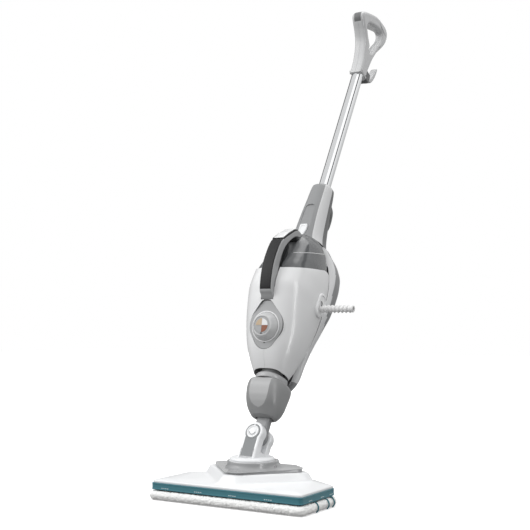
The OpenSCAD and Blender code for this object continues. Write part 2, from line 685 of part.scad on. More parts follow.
dial_knob();
dial_face();
inlet_boss();
lead_sleeve();
boiler();
boiler_clamps();
pump();
control_board();
water_hose();
steam_hose();
steam_nozzle();
nozzle_ring();
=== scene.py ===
"""Looks of a steam mop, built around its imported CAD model. Lengths in this script are millimetres
until a piece is placed, because the CAD source is in millimetres too. The upright is modelled
standing, with x to the side, y to the back and t up along the tube, and then leaned."""

import json
import math

import bmesh
import bpy
import numpy as np
from mathutils import Matrix, Vector, geometry, noise


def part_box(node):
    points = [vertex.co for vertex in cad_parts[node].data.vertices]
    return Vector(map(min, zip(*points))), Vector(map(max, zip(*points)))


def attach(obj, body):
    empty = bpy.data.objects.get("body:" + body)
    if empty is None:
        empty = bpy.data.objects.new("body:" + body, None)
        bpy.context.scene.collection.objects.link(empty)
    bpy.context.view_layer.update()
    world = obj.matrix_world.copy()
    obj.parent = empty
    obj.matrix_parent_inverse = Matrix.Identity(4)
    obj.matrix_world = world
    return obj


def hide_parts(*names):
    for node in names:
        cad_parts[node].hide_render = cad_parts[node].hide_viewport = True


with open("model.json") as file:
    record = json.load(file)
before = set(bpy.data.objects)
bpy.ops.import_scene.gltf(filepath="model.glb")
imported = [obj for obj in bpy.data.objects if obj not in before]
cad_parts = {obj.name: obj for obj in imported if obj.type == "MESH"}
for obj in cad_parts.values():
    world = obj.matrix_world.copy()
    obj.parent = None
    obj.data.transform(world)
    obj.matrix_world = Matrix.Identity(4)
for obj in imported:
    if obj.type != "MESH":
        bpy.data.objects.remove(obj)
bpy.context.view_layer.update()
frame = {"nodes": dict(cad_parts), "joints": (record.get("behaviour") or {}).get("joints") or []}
MM = 0.001
joints = {j["name"]: j for j in frame["joints"]}

# ---------- the frame's own axes ----------
back = Vector(joints["roll_swivel"]["axis"])
lean = math.atan2(-back.z, back.y)
along = Vector((0, math.sin(lean), math.cos(lean)))
PIVOT_T = -7
hinge = Vector(joints["pitch_swivel"]["pos_m"]) - PIVOT_T * MM * along
floor_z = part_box("mop_pad")[0].z
HINGE_Z = (hinge.z - floor_z) / MM

UPRIGHT = Matrix.Translation(hinge) @ Matrix.Rotation(-lean, 4, "X") @ Matrix.Scale(MM, 4)
FLOOR = Matrix.Translation((0, hinge.y, floor_z)) @ Matrix.Scale(MM, 4)


# ---------- materials ----------
PLASTIC_IOR = 1.45


def set_inputs(node, values):
    """Sets a shader node's own values."""
    for name, value in values.items():
        node.inputs[name].default_value = value
    return node


def material(name, color, rough=0.4, metal=0.0, coat=0.0, grain=0.08, grain_size=900.0, spots=0.05,
             sheen=0.0, alpha=1.0):
    """A Principled material with a fine grain in its bump and a slow change in its roughness."""
    mat = bpy.data.materials.new(name)
    mat.use_nodes = True
    nodes = mat.node_tree.nodes
    links = mat.node_tree.links
    shader = set_inputs(nodes["Principled BSDF"], {
        "Base Color": (*color, 1), "Roughness": rough, "Metallic": metal, "Coat Weight": coat,
        "Coat Roughness": 0.08, "Sheen Weight": sheen, "Sheen Roughness": 0.5, "Alpha": alpha,
        "IOR": PLASTIC_IOR})
    place = nodes.new("ShaderNodeTexCoord")
    if spots:
        cloud = set_inputs(nodes.new("ShaderNodeTexNoise"), {"Scale": 14, "Detail": 3})
        limits = {"To Min": max(rough - spots, 0.02), "To Max": rough + spots}
        spread = set_inputs(nodes.new("ShaderNodeMapRange"), limits)
        links.new(place.outputs["Object"], cloud.inputs["Vector"])
        links.new(cloud.outputs["Fac"], spread.inputs["Value"])
        links.new(spread.outputs["Result"], shader.inputs["Roughness"])
    noise_node = set_inputs(nodes.new("ShaderNodeTexNoise"), {"Scale": grain_size, "Detail": 2})
    bump = set_inputs(nodes.new("ShaderNodeBump"), {"Strength": grain, "Distance": 0.0004})
    links.new(place.outputs["Object"], noise_node.inputs["Vector"])
    links.new(noise_node.outputs["Fac"], bump.inputs["Height"])
    links.new(bump.outputs["Normal"], shader.inputs["Normal"])
    return mat


WHITE = material("white moulding", (0.80, 0.81, 0.82), rough=0.30, coat=0.25, grain=0.05, spots=0.04)
CASE = material("casing moulding", (0.78, 0.785, 0.79), rough=0.30, coat=0.4, grain=0.05, spots=0.04)
GREY = material("grey moulding", (0.26, 0.265, 0.27), rough=0.38, coat=0.15, grain=0.10)
LIGHT_GREY = material("light grey moulding", (0.42, 0.425, 0.43), rough=0.3, coat=0.5)
COLLAR = material("collar grey", (0.32, 0.325, 0.33), rough=0.28, coat=0.6)
DARK = material("dark moulding", (0.07, 0.07, 0.075), rough=0.45, grain=0.25, spots=0.06)
BLACK = material("black rubber", (0.008, 0.008, 0.009), rough=0.42, grain=0.5, grain_size=1600)
CHROME = material("chrome", (0.86, 0.87, 0.88), rough=0.07, metal=1.0, grain=0.02, grain_size=60,
                  spots=0.02)
STEEL = material("steel", (0.55, 0.55, 0.56), rough=0.3, metal=1.0, grain=0.1)
SMOKE = material("smoked tank", (0.13, 0.135, 0.14), rough=0.12, coat=0.6, grain=0.03, spots=0.03,
                 alpha=0.82)
SILICONE = material("silicone", (0.65, 0.65, 0.62), rough=0.5, grain=0.1)
BOARD = material("circuit board", (0.03, 0.16, 0.06), rough=0.4, grain=0.2)
BEIGE = material("dial beige", (0.55, 0.42, 0.28), rough=0.35, coat=0.3, grain=0.05, spots=0.03)
RUST = material("dial brown", (0.28, 0.10, 0.05), rough=0.35, coat=0.3, grain=0.05, spots=0.03)
TEAL = material("teal elastic", (0.035, 0.17, 0.21), rough=0.75, sheen=0.3, grain=0.6,
                grain_size=700)
# Painted light: a lighter grey for the cup's front flat.
LIT_FLAT_GREY = material("cup flat painted light grey", (0.40, 0.403, 0.406), rough=0.36, coat=0.15, grain=0.10)
TERRY = material("terry", (0.93, 0.93, 0.92), rough=0.95, sheen=0.4, grain=1.0, grain_size=420, spots=0)
# Dark grey for real mouldings, and also painted shade on the control panel's side walls.
DARK_GREY_AND_SHADE = material("dark grey moulding and painted shade", (0.155, 0.158, 0.16), rough=0.40, coat=0.1, grain=0.12)
CUP_GREY = material("cup grey", (0.28, 0.283, 0.285), rough=0.36, coat=0.15, grain=0.10)
# Painted highlight: a lighter grey for the dock's front strip, the neck's sides and the tank's rib.
HIGHLIGHT_GREY = material("painted highlight grey", (0.70, 0.705, 0.71), rough=0.32, coat=0.25, grain=0.06, spots=0.04)
HANDLE_GREY = material("handle grey", (0.58, 0.585, 0.59), rough=0.26, coat=0.7)
BOW_GREY = material("bow grey", (0.38, 0.385, 0.39), rough=0.34, coat=0.2)
PANEL_GREY = material("panel grey", (0.40, 0.405, 0.41), rough=0.36, coat=0.2, spots=0.04)
INSET = material("inset grey", (0.20, 0.21, 0.215), rough=0.45, grain=0.12)
KNOB = material("knob grey", (0.58, 0.585, 0.59), rough=0.25, coat=0.4, grain=0.05, spots=0.04)
GLOSS_WHITE = material("gloss white", (0.84, 0.845, 0.85), rough=0.2, coat=0.5, grain=0.03, spots=0.03)
SLEEVE = material("sleeve white", (0.80, 0.80, 0.80), rough=0.42, spots=0.04)
THREAD = material("pale thread", (0.62, 0.72, 0.74), rough=0.8, sheen=0.3, grain=0.4, grain_size=1500,
                  spots=0)
TAPE = material("hook tape", (0.16, 0.16, 0.17), rough=0.9, grain=0.9, grain_size=800, spots=0)


# ---------- mesh tools, all in millimetres ----------
def scene_object(name, data):
    """A new object in the scene."""
    obj = bpy.data.objects.new(name, data)
    bpy.context.scene.collection.objects.link(obj)
    return obj


def placed(obj, matrix):
    """The object with its mesh moved by a matrix, where there is one."""
    if matrix:
        obj.data.transform(matrix)
    return obj


def mesh_object(name, verts, faces):
    """A new object from points and faces, its faces turned outwards."""
    mesh = bpy.data.meshes.new(name)
    mesh.from_pydata([tuple(v) for v in verts], [], faces)
    build = bmesh.new()
    build.from_mesh(mesh)
    bmesh.ops.recalc_face_normals(build, faces=build.faces)
    build.to_mesh(mesh)
    build.free()
    return scene_object(name, mesh)


def loft(name, rings, capped=True, looped=False):
    """A skin over closed rings that all have the same number of points."""
    count = len(rings[0])
    levels = len(rings)
    faces = []
    for i in range(levels if looped else levels - 1):
        a = i * count
        b = (i + 1) % levels * count
        for j in range(count):
            k = (j + 1) % count
            faces.append((a + j, a + k, b + k, b + j))
    if capped and not looped:
        faces.append(tuple(range(count)))
        faces.append(tuple(range((levels - 1) * count, levels * count)))
    return mesh_object(name, [p for ring in rings for p in ring], faces)


def smooth_rows(rows, step=4.0):
    """More rows between the given ones, on curves that pass through them and never overshoot."""
    rows = np.array(rows, float)
    t = rows[:, 0]
    gaps = np.diff(t)
    slope = np.diff(rows, axis=0) / gaps[:, None]
    lead = np.zeros_like(rows)
    lead[0] = slope[0]
    lead[-1] = slope[-1]
    for i in range(1, len(rows) - 1):
        before, after = slope[i - 1], slope[i]
        w1 = 2 * gaps[i] + gaps[i - 1]
        w2 = gaps[i] + 2 * gaps[i - 1]
        same = before * after > 0
        safe_before = np.where(same, before, 1)
        safe_after = np.where(same, after, 1)
        lead[i] = np.where(same, (w1 + w2) / (w1 / safe_before + w2 / safe_after), 0)
    result = []
    for i, gap in enumerate(gaps):
        parts = max(1, round(gap / step))
        for k in range(parts + (i == len(gaps) - 1)):
            s = k / parts
            h00 = (1 + 2 * s) * (1 - s) ** 2
            h10 = s * (1 - s) ** 2
            h01 = s * s * (3 - 2 * s)
            h11 = s * s * (s - 1)
            result.append(h00 * rows[i] + h10 * gap * lead[i] + h01 * rows[i + 1] + h11 * gap * lead[i + 1])
    return result


def skin_point(row, turn):
    """The point of a rounded outline in a direction, where 0 is forward and a quarter turn is +x.
    The row is height, half width, front, widest place, back and squareness."""
    t, half, front, wide, rear, square = row
    s = math.sin(turn)
    c = math.cos(turn)
    reach = wide - front if c > 0 else rear - wide
    x = math.copysign(half * abs(s) ** (2 / square), s)
    return (x, wide - math.copysign(reach * abs(c) ** (2 / square), c), t)


def shell_ring(row, count, grow=0.0):
    """A rounded outline, moved outwards."""
    t, half, front, wide, rear, square = row
    wide = min(max(wide, front - grow + 0.8), rear + grow - 0.8)
    grown = (t, half + grow, front - grow, wide, rear + grow, square)
    return [skin_point(grown, math.tau * j / count) for j in range(count)]


def reaching(rows, foot=None, top=None):
    """The rows with their first or last outline at another height."""
    rows = list(rows)
    if foot is not None:
        rows[0] = (foot,) + tuple(rows[0][1:])
    if top is not None:
        rows[-1] = (top,) + tuple(rows[-1][1:])
    return rows


def shell_loft(name, rows, count=96, grow=0.0, step=4.0, lift=0.0):
    """A closed skin over rounded outlines, moved outwards by grow and up by lift."""
    rings = [shell_ring(row, count, grow) for row in smooth_rows(rows, step)]
    return loft(name, [[(x, y, t + lift) for x, y, t in ring] for ring in rings])


def carve(obj, tool, how="DIFFERENCE", keep_tool=False):
    """Cuts, joins or meets obj with a tool, and applies the result to its mesh."""
    modifier = obj.modifiers.new("carve", "BOOLEAN")
    modifier.object = tool
    modifier.operation = how
    modifier.solver = "MANIFOLD"
    mesh = evaluated_mesh(obj)
    if not len(mesh.polygons):
        modifier.solver = "EXACT"
        mesh = evaluated_mesh(obj)
    swap_mesh(obj, mesh)
    if not keep_tool:
        bpy.data.objects.remove(tool)
    return obj


def evaluated_mesh(obj):
    """A new mesh with the object's modifiers applied."""
    bpy.context.view_layer.update()
    graph = bpy.context.evaluated_depsgraph_get()
    return bpy.data.meshes.new_from_object(obj.evaluated_get(graph))


def swap_mesh(obj, mesh):
    """Gives the object another mesh under the old one's name, and clears its modifiers."""
    old = obj.data
    name = old.name
    obj.modifiers.clear()
    obj.data = mesh
    bpy.data.meshes.remove(old)
    mesh.name = name


def block(low, high, matrix=None):
    """A box between two corners, as a cutting tool."""
    (x0, y0, z0), (x1, y1, z1) = low, high
    verts = [(x, y, z) for x in (x0, x1) for y in (y0, y1) for z in (z0, z1)]
    faces = [(0, 1, 3, 2), (4, 6, 7, 5), (0, 4, 5, 1), (2, 3, 7, 6), (0, 2, 6, 4), (1, 5, 7, 3)]
    return placed(mesh_object("block", verts, faces), matrix)


def lathe(name, profile, count=64, matrix=None):
    """A turned solid: the profile is a list of (radius, height) from axis to axis, or a closed loop."""
    rings = []
    for radius, height in profile:
        rings.append([(max(radius, 1e-3) * math.cos(math.tau * j / count),
                       max(radius, 1e-3) * math.sin(math.tau * j / count), height) for j in range(count)])
    closed = profile[0][0] > 0.01
    return placed(loft(name, rings, capped=not closed, looped=closed), matrix)


def rod(radius, low, high, count, matrix=None):
    """A plain cylinder, as a cutting tool."""
    return lathe("rod", [(0, low), (radius, low), (radius, high), (0, high)], count, matrix)


def arc(centre, radius, start, end, steps=8):
    """Points on an arc, its angles in degrees."""
    return [(centre[0] + radius * math.cos(math.radians(start + (end - start) * k / steps)),
             centre[1] + radius * math.sin(math.radians(start + (end - start) * k / steps)))
            for k in range(steps + 1)]


def rounded(points, radius, steps=8):
    """A closed outline with every corner turned into an arc; radius is one number or one a corner."""
    points = [Vector(p) for p in points]
    count = len(points)
    radii = radius if isinstance(radius, (list, tuple)) else [radius] * count
    result = []
    for i, corner in enumerate(points):
        back_way = (points[i - 1] - corner).normalized()
        on_way = (points[(i + 1) % count] - corner).normalized()
        half = max(back_way.angle(on_way) / 2, 0.02)
        reach = min(radii[i] / math.tan(half), 0.49 * (points[i - 1] - corner).length,
                    0.49 * (points[(i + 1) % count] - corner).length)
        r = reach * math.tan(half)
        if abs(half - math.pi / 2) < 0.02 or r < 0.01:
            result.append(tuple(corner))
            continue
        middle = corner + (back_way + on_way).normalized() * (r / math.sin(half))
        first = corner + back_way * reach - middle
        last = corner + on_way * reach - middle
        turn = first.angle_signed(last)
        for k in range(steps + 1):
            a = -turn * k / steps
            result.append((middle.x + first.x * math.cos(a) - first.y * math.sin(a),
                           middle.y + first.x * math.sin(a) + first.y * math.cos(a)))
    return result


def curve_point(a, b, c, d, s):
    """A point on the curve from b (s = 0) to c (s = 1), whose ends head along a to c and b to d."""
    return tuple(0.5 * (2 * b + (c - a) * s + (2 * a - 5 * b + 4 * c - d) * s * s
                        + (3 * b - a - 3 * c + d) * s ** 3))


def smooth_closed(points, steps=6):
    """A closed curve through the given points."""
    pts = [Vector(p) for p in points]
    n = len(pts)
    result = []
    for i in range(n):
        ends = pts[i - 1], pts[i], pts[(i + 1) % n], pts[(i + 2) % n]
        result += [curve_point(*ends, k / steps) for k in range(steps)]
    return result


def smooth_open(points, steps=6):
    """An open curve through the given points, ending on the first and the last."""
    pts = [Vector(points[0])] + [Vector(p) for p in points] + [Vector(points[-1])]
    result = [tuple(pts[1])]
    for ends in zip(pts, pts[1:], pts[2:], pts[3:]):
        result += [curve_point(*ends, k / steps) for k in range(1, steps + 1)]
    return result


def round_hull(circles, out=0.0, count=96):
    """The outline of a belt round some circles, each one (x, y, radius), moved outwards."""
    result = []
    for k in range(count):
        turn = math.tau * k / count
        c, s = math.cos(turn), math.sin(turn)
        x, y, r = max(circles, key=lambda q: q[0] * c + q[1] * s + q[2])
        result.append((x + (r + out) * c, y + (r + out) * s))
    return result


def even(points, spacing):
    """The closed outline again, with points at an even spacing."""
    pts = np.array(list(points) + [points[0]], float)
    lengths = np.linalg.norm(np.diff(pts, axis=0), axis=1)
    at = np.concatenate([[0], np.cumsum(lengths)])
    count = max(8, int(round(at[-1] / spacing)))
    want = np.linspace(0, at[-1], count, endpoint=False)
    return np.stack([np.interp(want, at, pts[:, k]) for k in (0, 1)], axis=1)


def outward(points):
    """The outward direction at each point of a closed outline."""
    pts = np.array(points, float)
    ahead = np.roll(pts, -1, axis=0) - np.roll(pts, 1, axis=0)
    ahead /= np.maximum(np.linalg.norm(ahead, axis=1), 1e-9)[:, None]
    area = np.sum(pts[:, 0] * np.roll(pts[:, 1], -1) - pts[:, 1] * np.roll(pts[:, 0], -1))
    side = 1 if area > 0 else -1
    return np.stack([ahead[:, 1], -ahead[:, 0]], axis=1) * side


def plate(name, outer, low, high, radius, holes=(), round_low=True, steps=5, matrix=None):
    """A flat piece of any outline and holes, between two heights, with its edges rounded over."""
    outer = even(outer, 1.6)
    holes = [even(h, 1.6) for h in holes]
    edge = [(radius * (1 - math.sin(a)), radius * (1 - math.cos(a)))
            for a in (math.pi / 2 * k / steps for k in range(steps + 1))]
    low_layers = [(radius + 0.6, low)] + [(deep, low + up) for deep, up in edge]
    layers = low_layers if round_low else [(0, low)]
    layers += [(deep, high - up) for deep, up in reversed(edge)] + [(radius + 0.6, high)]
    verts = []
    faces = []
    caps = {0: [], len(layers) - 1: []}
    starts = {0: [], len(layers) - 1: []}
    for outline, sign in [(outer, -1)] + [(h, 1) for h in holes]:
        normals = outward(outline)
        count = len(outline)
        base = len(verts)
        for level, (deep, height) in enumerate(layers):
            ring = outline + normals * deep * sign
            if level in caps:
                caps[level].append([Vector((p[0], p[1], 0)) for p in ring])
                starts[level].extend(range(len(verts), len(verts) + count))
            verts.extend((p[0], p[1], height) for p in ring)
        for level in range(len(layers) - 1):
            a = base + level * count
            for j in range(count):
                k = (j + 1) % count
                faces.append((a + j, a + k, a + count + k, a + count + j))
    for level, loops in caps.items():
        for triangle in geometry.tessellate_polygon(loops):
            faces.append(tuple(starts[level][i] for i in triangle))
    return placed(mesh_object(name, verts, faces), matrix)


def band_around(name, path, section):
    """A closed section of (outwards, up) points carried round a closed outline."""
    normals = outward(path)
    rings = [[(p[0] + n[0] * out, p[1] + n[1] * out, up) for out, up in section]
             for p, n in zip(path, normals)]
    return loft(name, rings, looped=True)


def pipe(name, path, radius, sides=12):
    """A round rod along a path, closed at both ends; radius is one number or one a point."""
    pts = [Vector(p) for p in path]
    radii = radius if isinstance(radius, (list, tuple)) else [radius] * len(pts)
    side = None
    rings = []
    for i, p in enumerate(pts):
        ahead = (pts[min(i + 1, len(pts) - 1)] - pts[max(i - 1, 0)]).normalized()
        if side is None:
            side = ahead.orthogonal().normalized()
        side = (side - ahead * side.dot(ahead)).normalized()
        other = ahead.cross(side)
        rings.append([p + (side * math.cos(math.tau * j / sides)
                           + other * math.sin(math.tau * j / sides)) * radii[i] for j in range(sides)])
    return loft(name, rings)


def join(name, parts):
    """Several objects as one, with their materials kept."""
    build = bmesh.new()
    looks = []
    for part in parts:
        first = len(build.faces)
        build.from_mesh(part.data)
        build.faces.ensure_lookup_table()
        own = [m for m in part.data.materials] or [None]
        for m in own:
            if m not in looks:
                looks.append(m)
        for face in build.faces[first:]:
            face.material_index = looks.index(own[min(face.material_index, len(own) - 1)])
    mesh = bpy.data.meshes.new(name)
    build.to_mesh(mesh)
    build.free()
    for look in looks:
        mesh.materials.append(look)
    for part in parts:
        bpy.data.objects.remove(part)
    return scene_object(name, mesh)


def look(obj, mat):
    """One material for the whole piece."""
    obj.data.materials.clear()
    obj.data.materials.append(mat)
    return obj


def paint(obj, mat, test):
    """A second material on the faces whose middle and direction pass the test."""
    obj.data.materials.append(mat)
    slot = len(obj.data.materials) - 1
    for face in obj.data.polygons:
        if test(face.center, face.normal):
            face.material_index = slot


def part_of(whole, name, low, high):
    """A copy of a shell, cut down to the inside of a box."""
    part = scene_object(name, whole.data.copy())
    return carve(part, block(low, high), "INTERSECT")


def fit(obj, body, replaces=(), matrix=None, sharp=38):
    """Puts a finished piece in the frame, in metres, on its body, in place of the CAD nodes."""
    obj.data.transform(UPRIGHT if matrix is None else matrix)
    obj.data.shade_smooth()
    obj.data.set_sharp_from_angle(angle=math.radians(sharp))
    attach(obj, body)
    if replaces:
        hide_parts(*replaces)
    return obj


def side_plate(name, outline, half, radius, **more):
    """A plate seen from the side, equally far to the left and the right."""
    return plate(name, outline, -half, half, radius, matrix=SIDE_PLATE, **more)


def front_place(y):
    """The place of a plate whose height goes forward from a depth."""
    return Matrix.Translation((0, y, 0)) @ FRONT_PLATE


SIDE_PLATE = Matrix(((0, 0, 1, 0), (1, 0, 0, 0), (0, 1, 0, 0), (0, 0, 0, 1)))
FRONT_PLATE = Matrix(((1, 0, 0, 0), (0, 0, -1, 0), (0, 1, 0, 0), (0, 0, 0, 1)))
TO_UPRIGHT = UPRIGHT.inverted() @ FLOOR
GAP = 0.35
SHELL_WALL = 2.4

# ---------- head ----------
HEAD_W = 310
HEAD_FRONT = 98
HEAD_SIDE = 17
HEAD_BACK = 56
REAR_HALF = 98
PIVOT = Vector((0, PIVOT_T * math.sin(lean), HINGE_Z + PIVOT_T * math.cos(lean)))
BALL_R = 43
BALL_WALL = 3
SHELL_GAP = 2.6
SOCKET_GAP = 0.8
ROLL_D = 18
PAD_OUT = 7
TONGUE_WAY = 26
THROAT_R = 47
COLLAR_TOP = 71
STITCH_Z = 21.7
STITCH_STEP = 4.2
STITCH_LONG = 2.6
ROLL_SIDES = 36
LOOP_HEIGHT = 1.3
ROLL_Z = ROLL_D / 2 - 0.5


def plan(out):
    """The head's outline from above, moved outwards."""
    half = HEAD_W / 2 + out
    rear = REAR_HALF + out * 0.4
    side = HEAD_SIDE + out * 0.5
    return [(-half, -HEAD_FRONT - out), (half, -HEAD_FRONT - out), (half, side),
            (rear, HEAD_BACK + out), (-rear, HEAD_BACK + out), (-half, side)]


def kite(out):
    """The raised middle of the deck, moved outwards."""
    return [(-20 - out, -84 - out), (20 + out, -84 - out), (118 + out, 18), (76 + out, 54 + out),
            (-76 - out, 54 + out), (-118 - out, 18)]


def polar_ring(outline, centre, count, height):
    """A ring of evenly turned points on an outline, starting at the same direction each time."""
    fine = even(outline, 1.0)
    offset = fine - centre
    turns = np.arctan2(offset[:, 1], offset[:, 0]) % math.tau
    order = np.argsort(turns)
    turns = turns[order]
    reach = np.linalg.norm(offset, axis=1)[order]
    want = np.arange(count) * math.tau / count
    far = np.interp(want, np.concatenate([turns - math.tau, turns, turns + math.tau]), np.tile(reach, 3))
    return [(centre[0] + r * math.cos(a), centre[1] + r * math.sin(a), height) for a, r in zip(want, far)]


def blend_rings(a, b, share, height):
    """A ring part of the way from one ring to another."""
    return [(p[0] + (q[0] - p[0]) * share, p[1] + (q[1] - p[1]) * share, height) for p, q in zip(a, b)]


DECK_CENTRE = np.array([0.0, -20.0])
RING_POINTS = 240
DECK_CORNER = 5
KITE_CORNER = 12


def deck_ring(out, height):
    """The head's outline as a ring, moved outwards."""
    return polar_ring(rounded(plan(out), DECK_CORNER), DECK_CENTRE, RING_POINTS, height)


def kite_ring(out, height):
    """The outline of the deck's raised middle as a ring, moved outwards."""
    return polar_ring(rounded(kite(out), KITE_CORNER), DECK_CENTRE, RING_POINTS, height)


def ball(radius, steps=32):
    """A sphere round the pitch axis, as a cutting tool."""
    turns = [math.pi * k / steps for k in range(steps + 1)]
    profile = [(radius * math.sin(turn), -radius * math.cos(turn)) for turn in turns]
    return lathe("ball", profile, matrix=Matrix.Translation(PIVOT))


def head_shell():
    """The white cover: a low lip, a gently rising deck and a raised kite that carries the collar."""
    rim = deck_ring(-9, 36.7)
    foot = kite_ring(1.5, 39.6)
    rings = [deck_ring(-0.3, 31.0), deck_ring(0, 31.4), deck_ring(0, 34.0), deck_ring(-0.5, 35.0),
             deck_ring(-1.6, 35.6), deck_ring(-6.4, 36.0), deck_ring(-7.4, 36.2), rim,
             blend_rings(rim, foot, 0.35, 37.3), blend_rings(rim, foot, 0.75, 38.6), foot,
             kite_ring(0, 40.4), kite_ring(-1.2, 42.4), kite_ring(-6.0, 50.6), kite_ring(-7.4, 52.6),
             kite_ring(-9.2, 53.4), kite_ring(-13, 53.5)]
    shell = loft("head_shell", rings)
    inside = [deck_ring(-SHELL_WALL, 28), deck_ring(-SHELL_WALL, 33)]
    inside += [kite_ring(-4, 38), kite_ring(-11, 50.8)]
    carve(shell, loft("hollow", inside))
    carve(shell, ball(BALL_R + SHELL_GAP))
    carve(shell, block((-TONGUE_WAY, 0, 38), (TONGUE_WAY, 90, 98)))
    fit(look(shell, WHITE), "head", ["head_cover"], FLOOR, sharp=50)


def collar():
    """The grey collar: a flat brim that sweeps up to a round throat."""
    centre = np.array([0.0, -4.0])
    brim = [(-11, -73), (11, -73), (91, 12), (89, 24), (56, 51), (-56, 51), (-89, 24), (-91, 12)]
    rise = 2.5

    def brim_ring(out, high):
        """The brim's outline; over its underside it rises towards the back."""
        path = rounded([(x + math.copysign(out, x), y + math.copysign(out, y)) for x, y in brim], 7)
        ring = polar_ring(path, centre, RING_POINTS, 0)
        return [(x, y, high + rise * min(max((y + 60) / 78, 0), 1) * (high > 54.5)) for x, y, _ in ring]

    throat = arc((0, 0), THROAT_R, 0, 360, RING_POINTS)[:-1]
    base = brim_ring(-2.6, 57.1)
    rings = [brim_ring(0, 53.8), brim_ring(0, 55.8), brim_ring(-0.5, 56.6), brim_ring(-1.6, 57.0), base]
    steps = 14
    for k in range(1, steps + 1):
        share = k / steps
        sweep = math.sin(share * math.pi / 2) ** 0.9
        lift = share ** 2.8
        rings.append([(p[0] + (q[0] - p[0]) * sweep, p[1] + (q[1] - p[1]) * sweep,
                       p[2] + (COLLAR_TOP - 1.4 - p[2]) * lift) for p, q in zip(base, throat)])
    for shrink, drop in ((0.3, 0.7), (1.0, 0.2), (2.4, 0)):
        scale = 1 - shrink / THROAT_R
        rings.append([(x * scale, y * scale, COLLAR_TOP - drop) for x, y in throat])
    piece = loft("swivel_collar_skin", rings)
    carve(piece, ball(BALL_R + SOCKET_GAP))
    carve(piece, block((-TONGUE_WAY, 0, 40), (TONGUE_WAY, 90, 100)))
    fit(look(piece, COLLAR), "head", ["swivel_collar"], FLOOR, sharp=50)


def stitch(x, y, wide, deep):
    """One pale stitch of the band, from its lowest corner."""
    return block((x, y, STITCH_Z), (x + wide, y + deep, STITCH_Z + 1.2))


def teal_band():
    """The elastic band round the sole: a thin webbing with thicker hems and short rows of stitches."""
    path = even(rounded(plan(0.2), DECK_CORNER), 2.0)
    outside = [(1.2, 18.9), (1.75, 19.3), (1.8, 20.3), (1.35, 20.9), (1.3, 22.9), (1.3, 24.9), (1.3, 26.9),
               (1.3, 28.8), (1.8, 29.4), (1.75, 30.3), (1.2, 30.8)]
    section = outside + [(-1.2, 30.8), (-1.2, 25), (-1.2, 18.9)]
    band = band_around("teal_band", path, section)
    fit(look(band, TEAL), "head", ["pad_band"], FLOOR, sharp=60)
    marks = []
    for x in (-132, -60, 12, 84):
        marks += [stitch(x + k * STITCH_STEP, -HEAD_FRONT - 1.75, STITCH_LONG, 0.55) for k in range(4)]
    for y in (-74, -32, 0):
        for k in range(3):
            for s in (-1, 1):
                x = s * (HEAD_W / 2 + 1.48) - 0.28
                marks.append(stitch(x, y + k * STITCH_STEP, 0.56, STITCH_LONG))
    fit(look(join("band_stitches", marks), THREAD), "head", matrix=FLOOR)


def terry_roll():
    """The pad's thick roll, with its loops as a fine lumpy displacement."""
    path = even(rounded(plan(PAD_OUT - ROLL_D / 2), 3), 1.3)
    radius = ROLL_D / 2 - 0.7
    rings = []
    for p, n in zip(path, outward(path)):
        ring = []
        for j in range(ROLL_SIDES):
            turn = math.tau * j / ROLL_SIDES
            out = math.cos(turn)
            up = math.sin(turn)
            spot = Vector((p[0] + n[0] * out * radius, p[1] + n[1] * out * radius, up * radius))
            loops = noise.noise(spot * 0.42) + noise.noise(spot * 0.85 + Vector((9, 4, 2)))
            reach = radius + LOOP_HEIGHT * loops - 0.2
            z = min(max(ROLL_Z + up * reach, 0.1), 17.6)
            ring.append((p[0] + n[0] * out * reach, p[1] + n[1] * out * reach, z))
        rings.append(ring)
    return loft("roll", rings, looped=True)


def terry_sheet():
    """The pad's flat sheet inside the roll."""
    outline = polar_ring(rounded(plan(-10), 6), DECK_CENTRE, RING_POINTS, 0)
    x0, y0 = DECK_CENTRE
    levels = [(share, 0.3) for share in (0.04, 0.3, 0.6, 0.85, 1.0)]
    levels += [(share, 9.4) for share in (1.0, 0.6, 0.04)]
    return loft("sheet", [[(x0 + (x - x0) * share, y0 + (y - y0) * share, z) for x, y, _ in outline]
                          for share, z in levels])


def terry_pad():
    """The washable pad: a thick looped roll all round, joined by a flat looped sheet."""
    pad = join("terry_pad", [terry_roll(), terry_sheet()])
    fit(look(pad, TERRY), "head", ["mop_pad"], FLOOR, sharp=180)


def loops_on_pad():
    """Teal cords that hold the roll at both ends."""
    cords = []
    for s in (-1, 1):
        for y in (-52, -14, 6):
            x = s * (HEAD_W / 2 + PAD_OUT - ROLL_D / 2)
            turns = [math.radians(a) for a in range(-56, 100, 6)]
            path = [(x + s * 9.9 * math.cos(turn), y, ROLL_Z + 9.6 * math.sin(turn)) for turn in turns]
            cords.append(pipe("cord", path, 1.15, 10))
    fit(look(join("pad_cords", cords), TEAL), "head", ["pad_loops"], FLOOR)


# ---------- yoke ----------
ROLL_T = 46
FRONT_EAR = (-28, -10.5)
REAR_EAR = (5.5, 20)
EAR_R = 20
EAR_HALF = 17.6
CAP_SEAT_R = 12.3


def keyhole(radius, half, top, foot):
    """A round head on a straight leg, as an outline."""
    drop = math.degrees(math.asin(half / radius))
    return arc((0, top), radius, -90 + drop, 270 - drop, 40) + [(-half, foot), (half, foot)]


